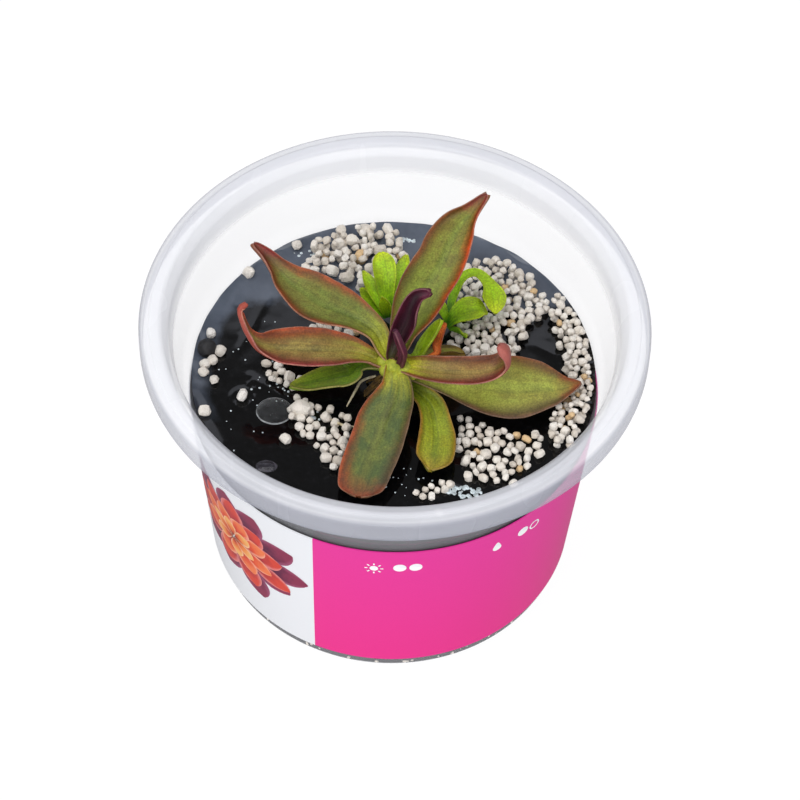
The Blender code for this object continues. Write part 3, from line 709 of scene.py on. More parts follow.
class Skin(Enum):
    """Leaf skins of the rosette and of its offsets."""
    REAR_TALL = LeafSkin("olive_leaf_tall", "#a0a838", "#828a34", "#867e34", "#788c30", "#8a4a24",
        "#c04418", "#8c2c34", "#8a6a40", 0.28)
    REAR_LEFT = LeafSkin("olive_leaf_rear", "#b4b830", "#7c8232", "#847c38", "#6c8034", "#9c4424",
        "#a04c28", "#802428", "#8a5a40", 0.3, tip_from=0.84)
    LEFT_HOOKED = LeafSkin("russet_leaf_hooked", "#b0b038", "#8c7434", "#8a6430", "#88803c", "#a83c44",
        "#a84420", "#b84c3c", "#a04c40", 0.42)
    LEFT_LOWER = LeafSkin("green_leaf", "#a4b428", "#6c9024", "#88a028", "#5c8418", "#8a8c30",
        "#8a8c30", "#9aa434", "#6c8a24", 0.12, 0.2)
    FRONT = LeafSkin("olive_leaf_front", "#b4b430", "#5a6c32", "#54682e", "#70742e", "#6c5034",
        "#b04c20", "#8c4024", "#7a5a40", 0.28)
    RIGHT_BROAD = LeafSkin("olive_leaf_broad", "#b4bc3c", "#b6bc50", "#a09c3c", "#a8b648", "#8c4c20",
        "#6c4a34", "#8c3c1c", "#7a5a40", 0.3)
    RIGHT_CURLED = LeafSkin("russet_leaf_curled", "#c4c828", "#94803c", "#8c5c38", "#8c7c38", "#8a4830",
        "#983438", "#a85c54", "#a85c54", 0.42)
    PURPLE = LeafSkin("purple_leaf", "#3c3a1c", "#3c1826", "#401a2c", "#281014", "#6a2440", "#6a2440",
        "#5c1c38", "#4c1c30", 0.34, 0.1, 0.4)
    PURPLE_FOLD = LeafSkin("purple_fold", "#4a2030", "#5c2438", "#58223a", "#44182a", "#6a2440",
        "#6a2440", "#5c2240", "#4c1c30", 0.3, 0.1, 0.4)
    LIME = LeafSkin("lime_leaf", "#9fc014", "#9fc014", "#a8c818", "#8fb81c", "#a8c818", "#a8c818",
        "#b8d020", "#9fc014", 0.1, 0.1)
    OFFSET = LeafSkin("lime_offset_leaf", "#3c8a14", "#8cc410", "#b4d41c", "#9ccc14", "#c0dc24",
        "#c0dc24", "#c8d820", "#6cb018", 0.1, 0.1)
    ORANGE = LeafSkin("orange_leaf", "#c8641c", "#d8641c", "#d8641c", "#e07828", "#d8641c", "#c8541c",
        "#d8641c", "#c8641c", 0.2, 0.1)
    WITHERED = LeafSkin("withered_leaf", "#6f9a20", "#a89a3c", "#a0903a", "#8f9a34", "#7a6020",
        "#7a6020", "#8a7028", "#7a6020", 0.3, 0.1, 0.55)
    FRONT_OLD = LeafSkin("old_leaf", "#5c7c20", "#8a9820", "#a4a820", "#748a20", "#a88428", "#b08424",
        "#a8902c", "#46521c", 0.16, 0.15)

    def make(self) -> tuple[bpy.types.Material, bpy.types.Material]:
        """Return both faces' materials."""
        return self.value.make()


def catmull_rom(points: Sequence[Sequence[float]], per_span: int = 10) -> list[list[float]]:
    """Sample a smooth curve through points that may have any number of values each.

    Args:
        points: The points.
        per_span: Samples between two neighbours.

    Returns:
        The samples, with the last point at the end.
    """
    ends = [[2 * a - b for a, b in zip(points[0], points[1])],
            [2 * a - b for a, b in zip(points[-1], points[-2])]]
    padded = [ends[0], *points, ends[1]]
    samples = []
    for p0, p1, p2, p3 in zip(padded, padded[1:], padded[2:], padded[3:]):
        for step in range(per_span):
            t = step / per_span
            samples.append([0.5 * (2 * b + (c - a) * t + (2 * a - 5 * b + 4 * c - d) * t * t
                                   + (3 * b - a - 3 * c + d) * t ** 3)
                            for a, b, c, d in zip(p0, p1, p2, p3)])
    samples.append(list(points[-1]))
    return samples


def even_rows(samples: Sequence[Sequence[float]], rows: int) -> list[list[float]]:
    """Pick rows at equal steps of length along a sampled midrib.

    Args:
        samples: Samples whose first three values are a place.
        rows: Rows to pick.

    Returns:
        The rows.
    """
    lengths = [0.0]
    for before, after in zip(samples, samples[1:]):
        lengths.append(lengths[-1] + (Vector(after[:3]) - Vector(before[:3])).length)
    picked = []
    index = 0
    for row in range(rows):
        target = lengths[-1] * row / (rows - 1)
        while index < len(lengths) - 2 and lengths[index + 1] < target:
            index += 1
        share = (target - lengths[index]) / (lengths[index + 1] - lengths[index])
        picked.append([a + (b - a) * share for a, b in zip(samples[index], samples[index + 1])])
    return picked


@dataclass(frozen=True)
class Blade:
    """One leaf blade: stations from base to tip, each (x, y, z, half width, roll, hollow).

    The side direction points to the right of the way from base to tip and lies at the angle
    `side` in plan, with `turn` added by the tip. Roll lifts that side, in degrees. Hollow lifts
    both margins over the midrib.
    """
    name: str
    side: float
    stations: tuple
    skin: Skin
    slot: str = "olive_leaf"
    turn: float = 0.0
    rows: int = 84
    columns: int = 18
    thickness: float = 0.95
    rise: float = 0.3
    tip_round: float = 0.03
    curl: float = 0.3
    wave: float = 0.16
    groove: float = 0.28

    def build(self) -> bpy.types.Object:
        """Shape the blade with its thickness, fluted margins and midrib groove.

        Returns:
            The blade.
        """
        rows = even_rows(catmull_rom(self.stations), self.rows + 1)
        count = len(rows)
        frames = []
        for index, row in enumerate(rows):
            before = Vector(rows[max(index - 1, 0)][:3])
            after = Vector(rows[min(index + 1, count - 1)][:3])
            along = (after - before).normalized()
            angle = math.radians(self.side + self.turn * index / (count - 1))
            plan = Vector((math.cos(angle), math.sin(angle), 0.0))
            side = (plan - along * plan.dot(along)).normalized()
            side = Matrix.Rotation(-math.radians(row[4]), 3, along) @ side
            frames.append((Vector(row[:3]), side, side.cross(along)))

        def place(u: float, v: float) -> Vector:
            """Lay a point of the blade.

            Args:
                u: Share across from the left margin.
                v: Share along from the base.

            Returns:
                The point in metres.
            """
            index = round(v * (count - 1))
            middle, side, face = frames[index]
            half, hollow = rows[index][3], rows[index][5]
            if v > 1.0 - self.tip_round:
                share = (v - 1.0 + self.tip_round) / self.tip_round
                half *= math.sqrt(max(0.02, 1.0 - share * share))
            s = 2.0 * u - 1.0
            edge = abs(s)
            seed = Vector((middle.x * 0.16, middle.y * 0.16, 3.0 * s))
            flute = self.wave * edge ** 3 * noise.noise(seed) * min(1.0, half)
            lift = hollow * s * s + self.rise + flute
            lift += self.curl * ease(edge, 0.72, 1.0) * min(1.0, half / 3.0)
            lift -= self.groove * math.exp(-(s / 0.13) ** 2) * min(1.0, half / 3.0) * (1.0 - v)
            wide = half * (1.0 + 0.03 * noise.noise(seed * 2.0))
            return at(*(middle + side * (wide * s) + face * lift))

        obj = shaped_grid(self.name, self.columns, self.rows, place)
        dress(obj, *self.skin.make())
        group = obj.vertex_groups.new(name="flesh")
        for vertex in obj.data.vertices:
            s = 2.0 * (vertex.index % (self.columns + 1)) / self.columns - 1.0
            group.add([vertex.index], max(0.3, 1.0 - s ** 4), "REPLACE")
        return thicken(obj, self.thickness, -1.0, group.name, 1)


ROSETTE = (
    Blade("leaf_rear_tall", -20.0, ((0.5, -3.9, 57.9, 0.9, 0, 0.2), (1.4, -2.3, 59.2, 1.3, 0, 0.3),
        (2.1, 1.0, 61.2, 2.9, 0, 0.7), (4.1, 4.5, 64.6, 4.5, -4, 1.0), (6.0, 7.6, 67.2, 4.9, -5, 1.1),
        (8.7, 11.2, 70.0, 4.8, -5, 1.1), (10.3, 14.4, 72.3, 4.5, -4, 1.0),
        (12.3, 17.4, 74.2, 3.4, -3, 1.2), (14.6, 19.4, 76.2, 1.7, 0, 1.0),
        (17.5, 21.7, 78.8, 0.5, 0, 0.2)), Skin.REAR_TALL),
    Blade("leaf_rear_left", 57.0, ((-0.8, -3.8, 57.8, 1.4, 0, 0.2), (-2.2, -2.4, 58.8, 1.7, 0, 0.3),
        (-3.9, 0.7, 60.3, 2.5, 0, 0.6), (-7.2, 2.9, 61.2, 3.5, 0, 0.9), (-10.8, 4.8, 61.4, 4.9, 0, 1.0),
        (-14.8, 6.7, 61.5, 5.6, 0, 1.0), (-18.3, 9.5, 61.5, 5.0, 0, 1.1),
        (-21.4, 11.9, 61.6, 3.7, 0, 1.3), (-23.8, 14.6, 62.2, 2.2, 0, 1.1),
        (-26.1, 17.2, 63.1, 1.3, 0, 0.8), (-29.0, 19.6, 64.3, 0.5, 0, 0.2)), Skin.REAR_LEFT),
    Blade("leaf_left_hooked", 92.0, ((-0.8, -4.6, 56.8, 1.4, 0, 0.2), (-2.6, -4.4, 57.2, 1.6, 0, 0.2),
        (-5.3, -3.4, 58.0, 1.9, 9, 0.4), (-9.0, -3.2, 59.1, 2.9, 13, 0.8),
        (-13.7, -4.0, 60.3, 3.9, 14, 1.0), (-18.8, -4.4, 60.8, 4.1, 14, 1.0),
        (-23.2, -4.6, 61.2, 3.5, 14, 1.0), (-26.7, -4.6, 62.4, 2.1, 10, 0.9),
        (-28.7, -3.6, 64.3, 0.9, 0, 0.4), (-29.9, -2.0, 66.3, 0.6, 0, 0.2),
        (-30.4, -0.3, 67.6, 0.6, 0, 0.1), (-29.4, 0.8, 67.8, 0.5, 0, 0.1)), Skin.LEFT_HOOKED,
        "russet_leaf"),
    Blade("leaf_left_lower", 100.0, ((-0.6, -4.6, 55.4, 0.9, 0, 0.2), (-2.6, -3.9, 55.6, 1.2, 0, 0.2),
        (-5.6, -3.6, 55.6, 1.5, 0, 0.3), (-7.4, -4.3, 55.2, 2.0, -4, 0.4),
        (-8.7, -5.6, 54.8, 3.6, -8, 0.4), (-10.4, -5.7, 54.2, 3.7, -12, 0.3),
        (-14.0, -6.0, 53.1, 3.0, -10, 0.4), (-17.4, -6.3, 52.2, 1.9, 0, 0.3),
        (-20.4, -6.6, 51.8, 0.6, 0, 0.1)), Skin.LEFT_LOWER, "green_leaf"),
    Blade("leaf_front", 160.0, ((0.2, -5.2, 57.4, 1.8, 0, 0.3), (0.3, -7.4, 57.8, 2.1, 0, 0.3),
        (0.6, -10.2, 57.0, 3.1, 0, 0.5), (0.0, -13.2, 56.2, 4.2, 0, 0.5),
        (-1.6, -16.9, 55.1, 5.1, 0, 0.3), (-3.0, -21.6, 53.6, 5.3, 0, 0.1),
        (-4.7, -26.1, 52.1, 5.2, 0, -0.2), (-5.7, -29.4, 51.0, 4.8, 0, -0.3),
        (-6.2, -32.3, 50.3, 3.7, 0, -0.1)), Skin.FRONT, tip_round=0.07),
    Blade("leaf_right_broad", -92.0, ((0.6, -5.0, 55.4, 1.0, 0, 0.2), (2.6, -5.6, 55.6, 1.5, 0, 0.2),
        (7.4, -6.6, 56.0, 2.7, -11, 0.2), (12.4, -6.9, 55.4, 4.2, -19, 0.2),
        (17.5, -7.0, 54.4, 5.9, -18, 0.0), (22.5, -6.8, 53.6, 6.8, -16, -0.2),
        (27.3, -6.3, 53.1, 6.2, -13, -0.2), (31.7, -6.2, 53.0, 4.2, -13, 0.0),
        (34.6, -5.8, 53.0, 2.1, -10, 0.1), (37.3, -4.9, 53.2, 0.5, 0, 0.0)), Skin.RIGHT_BROAD),
    Blade("leaf_right_curled", -90.0, ((0.6, -5.1, 57.2, 1.6, 0, 0.3), (2.4, -5.9, 58.2, 1.8, 0, 0.3),
        (5.5, -7.5, 59.5, 2.3, -14, 0.7), (9.4, -8.9, 60.6, 2.6, -18, 0.9),
        (13.5, -9.4, 61.2, 2.8, -20, 0.9), (16.8, -9.4, 61.5, 2.8, -18, 0.8),
        (20.0, -9.0, 62.2, 2.6, -12, 0.5), (22.0, -8.4, 64.0, 2.4, -6, 0.3),
        (21.9, -7.8, 66.0, 2.0, 0, 0.2), (20.3, -7.4, 66.9, 1.3, 0, 0.1)), Skin.RIGHT_CURLED,
        "russet_leaf"),
    Blade("leaf_heart_purple", -20.0, ((-0.2, -4.6, 58.6, 0.8, 0, 0.3), (-0.3, -4.2, 59.9, 0.9, 0, 0.6),
        (1.1, -2.2, 63.0, 1.7, 0, 1.5), (2.5, -0.6, 66.0, 2.0, 0, 2.0), (3.2, 0.6, 69.0, 1.6, 0, 1.7),
        (4.4, 1.5, 71.3, 1.2, 0, 0.8), (6.7, 1.4, 72.4, 0.6, 0, 0.2)), Skin.PURPLE, "purple_leaf",
        rows=48),
    Blade("leaf_heart_front", -50.0, ((0.8, -5.4, 58.4, 0.6, 0, 0.2), (1.35, -6.25, 59.35, 0.7, 0, 0.2),
        (1.8, -5.8, 62.6, 0.8, 0, 0.4), (0.9, -5.3, 65.4, 0.7, 0, 0.3), (0.0, -4.6, 67.4, 0.4, 0, 0.1)),
        Skin.PURPLE_FOLD, "purple_leaf", rows=36, tip_round=0.08),
    Blade("leaf_heart_lime", -60.0, ((1.0, -4.3, 56.6, 0.7, 0, 0.2), (4.2, -3.3, 57.8, 0.9, 0, 0.2),
        (5.8, -1.0, 58.8, 1.2, 0, 0.3), (7.5, 1.3, 60.2, 1.1, 0, 0.3), (9.0, 3.2, 61.8, 0.5, 0, 0.1)),
        Skin.LIME, "lime_leaf", rows=36, tip_round=0.08),
    Blade("leaf_heart_orange", -5.0, ((4.0, -3.0, 55.6, 0.4, 0, 0.1), (8.2, -1.2, 56.4, 0.5, 0, 0.1),
        (8.4, 0.4, 57.2, 0.7, 0, 0.2), (8.9, 2.0, 58.8, 0.7, 0, 0.2), (9.9, 3.4, 60.6, 0.4, 0, 0.0)),
        Skin.ORANGE, "orange_leaf", rows=36, tip_round=0.08),
    Blade("leaf_withered", -60.0, ((0.9, -4.2, 55.0, 0.6, 0, 0.2), (3.4, -2.6, 55.2, 0.8, 0, 0.2),
        (6.2, -0.2, 54.8, 1.2, 10, 0.3), (9.6, 1.4, 53.8, 1.9, 25, 0.4),
        (12.0, 2.4, 52.8, 1.7, 15, 0.2), (14.0, 2.6, 52.2, 0.6, 0, 0.0)), Skin.WITHERED, "old_leaf",
        rows=40, tip_round=0.1, wave=0.5),
    Blade("leaf_front_old", 190.0, ((0.4, -5.2, 54.2, 0.9, 0, 0.3), (2.0, -7.0, 53.8, 1.0, 0, 0.3),
        (4.6, -8.9, 53.7, 1.6, 0, 0.5), (7.2, -11.6, 53.3, 2.6, 8, 0.6),
        (8.3, -15.2, 52.7, 3.0, 10, 0.6), (8.7, -19.3, 52.1, 3.6, 8, 0.4),
        (8.3, -23.4, 51.6, 3.6, 4, 0.2), (7.7, -26.2, 51.3, 1.8, 0, 0.1)), Skin.FRONT_OLD, "old_leaf",
        tip_round=0.12, wave=0.4),
)


def offset_blade(side: float, stations: tuple, turn: float = 0.0) -> Blade:
    """Small thin blade of an offset plantlet."""
    return Blade("offset_blade", side, stations, Skin.OFFSET, "lime_leaf", turn, 26, 8, 0.6,
                 0.15, 0.2, 0.1, 0.25, 0.12)


OFFSETS = {
    "plantlet_rear_left": (
        offset_blade(-10.0, ((-1.5, 13.4, 50.4, 0.7, 0, 0.1), (-1.9, 15.6, 54.0, 1.5, 0, 0.3),
            (-2.3, 18.8, 57.4, 2.3, 0, 0.4), (-3.2, 22.8, 59.2, 2.1, 0, 0.2))),
        offset_blade(-25.0, ((-1.3, 13.6, 50.4, 0.7, 0, 0.1), (0.2, 15.9, 53.6, 1.4, 0, 0.3),
            (0.8, 19.3, 55.8, 1.6, 0, 0.3), (2.0, 23.6, 57.6, 1.0, 0, 0.2))),
        offset_blade(35.0, ((-1.7, 13.5, 50.4, 0.7, 0, 0.1), (-3.4, 15.0, 53.4, 1.3, 0, 0.3),
            (-5.1, 17.4, 55.0, 1.4, 0, 0.3), (-6.8, 20.4, 56.0, 0.5, 0, 0.1))),
        offset_blade(45.0, ((-1.8, 13.2, 50.2, 0.7, 0, 0.1), (-3.8, 14.4, 52.0, 1.5, 0, 0.3),
            (-5.5, 16.0, 53.0, 1.6, 0, 0.3), (-7.2, 17.8, 53.6, 0.7, 0, 0.1))),
        offset_blade(10.0, ((-1.6, 13.0, 50.4, 0.6, 0, 0.1), (-1.9, 12.6, 53.2, 1.1, 0, 0.2),
            (-2.4, 12.6, 55.2, 1.1, 0, 0.2), (-2.9, 13.0, 56.8, 0.4, 0, 0.0)))),
    "plantlet_rear_right": (
        offset_blade(-70.0, ((10.6, 10.8, 50.8, 0.8, 0, 0.1), (12.2, 11.4, 53.2, 2.0, 0, 0.3),
            (14.4, 12.0, 54.4, 2.9, 0, 0.3), (16.8, 12.4, 54.4, 2.6, 0, 0.2),
            (18.6, 12.2, 53.4, 1.0, 0, 0.1))),
        offset_blade(-20.0, ((10.8, 11.4, 50.8, 0.6, 0, 0.1), (11.6, 15.2, 54.2, 0.9, 0, 0.2),
            (13.4, 18.8, 56.4, 1.1, 0, 0.2), (16.2, 19.8, 57.0, 1.1, 0, 0.2),
            (18.8, 17.4, 56.4, 1.5, 0, 0.1), (19.9, 14.6, 55.6, 2.7, 0, 0.2),
            (20.2, 11.4, 54.4, 2.1, 0, 0.1)), -130.0),
        offset_blade(140.0, ((11.2, 10.4, 50.6, 0.5, 0, 0.0), (13.2, 8.6, 51.8, 0.8, 0, 0.1),
            (14.6, 7.0, 52.2, 0.6, 0, 0.0))),
        offset_blade(60.0, ((10.8, 11.2, 50.8, 0.6, 0, 0.1), (9.8, 12.8, 52.6, 1.2, 0, 0.2),
            (8.6, 14.6, 53.4, 1.1, 0, 0.2), (7.6, 16.2, 53.4, 0.4, 0, 0.0)))),
}


@dataclass
class Cup:
    """Thin-walled round cup with stacking shoulder, sealing land and skirted rim."""
    steps: int = 180
    edge: float = 0.3
    corner_cuts: int = 3
    floor_bottom: float = -0.6
    floor_top: float = 0.3
    toe_top: float = -1.4
    toe_height: float = 4.0
    toe_thin: float = 0.16
    thin: float = 0.42
    foot_inner: float = 34.9
    foot_outer: float = 37.0
    shoulder_rise: float = 2.4
    shoulder_step: float = 1.35
    collar_top: tuple[float, float] = (44.9, 64.6)
    land: tuple[float, float] = (46.5, 48.3)
    flange: float = 1.0
    skirt_bottom: float = 61.3

    def profile(self) -> list[tuple[float, float]]:
        """List the profile from the middle of the underside to the middle of the floor.

        Returns:
            Radius and height of each corner.
        """
        top, under = SHOULDER_HEIGHT + self.shoulder_rise, RIM_TOP - self.flange
        skirt, step = RIM_RADIUS - WALL, BODY_TOP_RADIUS + self.shoulder_step
        (collar, brow), (inner, outer) = self.collar_top, self.land
        return [
            (0.0, self.floor_bottom), (self.foot_inner - 0.3, self.floor_bottom),
            (self.foot_inner, -DATUM), (self.foot_outer, -DATUM),
            (BODY_FOOT_RADIUS, BODY_FOOT_HEIGHT), (BODY_TOP_RADIUS, SHOULDER_HEIGHT), (step, top),
            (collar + 0.7, brow - 1.2), (inner + 0.25, under), (skirt - 0.6, under),
            (skirt, under - 0.6), (skirt, self.skirt_bottom), (RIM_RADIUS, self.skirt_bottom),
            (RIM_RADIUS, RIM_TOP - 1.2), (RIM_RADIUS - 0.25, RIM_TOP - 0.6),
            (RIM_RADIUS - 0.85, RIM_TOP - 0.25), (outer + 0.25, RIM_TOP - 0.25), (outer, RIM_TOP),
            (inner, RIM_TOP), (inner - 0.5, RIM_TOP - 0.25), (collar, brow),
            (collar - 0.25, brow - 0.5), (step - self.thin, top),
            (BODY_TOP_RADIUS - self.thin, SHOULDER_HEIGHT),
            (wall_radius(self.toe_height) - self.thin, self.toe_height),
            (wall_radius(self.toe_top) - self.toe_thin, self.toe_top),
            (self.foot_inner + 0.1, self.toe_top), (self.foot_inner - 0.1, self.floor_top),
            (0.0, self.floor_top)]

    def rounded(self) -> list[tuple[float, float]]:
        """Turn each corner of the profile into a short arc.

        Returns:
            Radius and height of each point.
        """
        corners = [Vector(point) for point in self.profile()]
        line = [corners[0]]
        for before, corner, after in zip(corners, corners[1:], corners[2:]):
            ways = [(end - corner).normalized() * min(self.edge, (end - corner).length * 0.45)
                    for end in (before, after)]
            for cut in range(self.corner_cuts + 1):
                t = cut / self.corner_cuts
                line.append(corner + ways[0] * (1 - t) ** 2 + ways[1] * t * t)
        line.append(corners[-1])
        return [tuple(point) for point in line]

    def build(self) -> None:
        """Turn, dress and deliver the cup."""
        obj = lathe("cup_moulded", self.rounded(), self.steps)
        deliver(dress(obj, MilkyPolypropylene().make()), "cup", "cup")


@dataclass
class Label:
    """Printed band round the body, with a rosette ornament and plain care signs."""
    bottom: float = 1.7
    top: float = 44.5
    thickness: float = 0.25
    window: float = 12.0
    proud: float = 0.03
    ink_thickness: float = 0.02
    sun: tuple[float, float] = (-4.0, 38.4)
    drop: tuple[float, float] = (31.3, 38.2)
    ring: tuple[float, float] = (44.3, 38.6)
    sun_rays: tuple[int, float, float, float] = (8, 1.25, 0.6, 0.16)
    dots: tuple = ((3.1, 38.8), (7.5, 38.8), (40.0, 39.0))
    seed: int = 5
    ornament_place: tuple[float, float] = (-52.0, 25.0)
    ornament_shape: tuple[float, float] = (1.25, 0.98)
    ornament_rings: tuple = ((11, 3.0, 15.8, 3.4, 0.0), (9, 2.0, 13.0, 3.0, 0.02),
                             (8, 1.0, 9.8, 2.4, 0.04), (6, 0.3, 6.2, 1.7, 0.06))

    def place(self, degrees: float, height: float, proud: float) -> Vector:
        """Find a place on the label.

        Args:
            degrees: Its angle from -Y.
            height: Its height.
            proud: How far it stands off the print.

        Returns:
            The place in metres.
        """
        radius = wall_radius(height) + GAP + self.thickness + proud
        turn = math.radians(degrees)
        return at(radius * math.sin(turn), -radius * math.cos(turn), height)

    def band(self) -> None:
        """Build the band itself."""
        span = 360.0 - self.window

        def place(u: float, v: float) -> Vector:
            """Lay a point of the band for u along it and v up."""
            height = self.bottom + v * (self.top - self.bottom)
            return self.place(-180.0 + self.window / 2.0 + u * span, height, -self.thickness)

        obj = dress(shaped_grid("label_band", 240, 6, place), PrintedFilm().make())
        deliver(thicken(obj, self.thickness), "label", "label")

    def mark(self, size: tuple[int, int], spot: tuple[float, float], proud: float,
             flat: Callable[[float, float], Sequence[float]]) -> bpy.types.Object:
        """Build one mark of the print.

        Args:
            size: Faces across and along.
            spot: Angle and height of its middle.
            proud: Height over the print.
            flat: Gives how far to the right and up a point lies, for u across and v along.

        Returns:
            The open sheet.
        """
        radius = wall_radius(spot[1]) + GAP + self.thickness

        def place(u: float, v: float) -> Vector:
            """Lay a point of the flat mark on the label."""
            right, up = flat(u, v)
            return self.place(spot[0] + math.degrees(right / radius), spot[1] + up, proud)

        return shaped_grid("mark", *size, place)

    def petal(self, turn: float, start: float, end: float, half: float,
              proud: float) -> bpy.types.Object:
        """Build one pointed petal of the ornament.

        Args:
            turn: Direction in degrees.
            start: Distance of its base from the ornament's middle.
            end: Distance of its tip.
            half: Largest half width.
            proud: Height over the print.

        Returns:
            The open sheet.
        """
        def flat(u: float, v: float) -> Sequence[float]:
            """Lay a point of the petal.

            Args:
                u: Share across from its left side.
                v: Share along from its base.

            Returns:
                How far to the right and up it lies.
            """
            width = half * max(0.02, math.sin(math.pi * v ** 1.4)) ** 0.7
            step = turned(math.radians(turn), start + v * (end - start), width * (1.0 - 2.0 * u))
            return step * Vector(self.ornament_shape)

        return self.mark((4, 16), self.ornament_place, proud, flat)

    def ornament(self) -> None:
        """Build the rosette ornament, ring upon ring, on the white panel."""
        inks = (InkSpot("plum_ink", ("#180614", "#2c0c24", "#5c1c40", "#8c3050"), "#a8587c"),
                InkSpot("crimson_ink", ("#2c0c1c", "#6c1838", "#b42c34", "#d84434"), "#ec9898"),
                InkSpot("coral_ink", ("#3c0c18", "#b42828", "#e4502c", "#f07c48"), "#f8b8a0"),
                InkSpot("orange_ink", ("#6c1818", "#d44c24", "#f08840", "#f4b468"), "#fcd0a8"))
        rng = random.Random(self.seed)
        for ring, (count, start, end, half, level) in enumerate(self.ornament_rings):
            petals = []
            for index in range(count):
                turn = 360.0 * index / count + 13.0 * ring + rng.uniform(-5.0, 5.0)
                stretch = rng.uniform(0.86, 1.05)
                petals.append(self.petal(turn, start, end * stretch, half,
                                         self.proud + level + 0.004 * (index % 3)))
            obj = dress(joined("ornament_ring_%d" % ring, petals), inks[ring].make())
            deliver(thicken(obj, self.ink_thickness), "label")

    def spot(self, place: tuple[float, float], radius: float, hole: float = 0.0,
             squeeze: float = 0.0) -> bpy.types.Object:
        """Build a disc, a ring or a drop on the label.

        Args:
            place: Angle and height of its middle.
            radius: Its radius.
            hole: Radius of its hole.
            squeeze: How far its top is drawn out into a drop.

        Returns:
            The open sheet.
        """
        def flat(u: float, v: float) -> Sequence[float]:
            """Lay a point of the disc.

            Args:
                u: Share of the way in from the outline.
                v: Share of the turn.

            Returns:
                How far to the right and up it lies.
            """
            reach, up = hole + (radius - hole) * (1.0 - u), math.sin(math.tau * v)
            narrow = 1.0 - 0.55 * squeeze * max(0.0, up)
            tall = 1.0 + squeeze if up > 0.0 else 1.0
            return math.cos(math.tau * v) * reach * narrow, up * reach * tall

        return self.mark((3, 32), place, self.proud, flat)

    def signs(self) -> None:
        """Build the care signs: sun with two dots, drop with a dot and a ring."""
        pieces = [self.spot(self.sun, 0.85)]
        count, start, length, half = self.sun_rays
        for turn in (math.tau * index / count for index in range(count)):
            pieces.append(self.mark((1, 2), self.sun, self.proud, lambda u, v: turned(
                turn, start + length * v, half * (1.0 - 2.0 * u))))
        pieces += [self.spot(place, 1.3) for place in self.dots]
        pieces += [self.spot(self.drop, 1.0, 0.0, 0.9), self.spot(self.ring, 1.3, 0.95)]
        white = InkSpot("white_ink", ("#f4f4fa", "#ffffff")).make()
        deliver(thicken(dress(joined("care_signs", pieces), white), self.ink_thickness), "label")

    def build(self) -> None:
        """Build the band, the ornament and the signs."""
        self.band()
        self.ornament()
        self.signs()


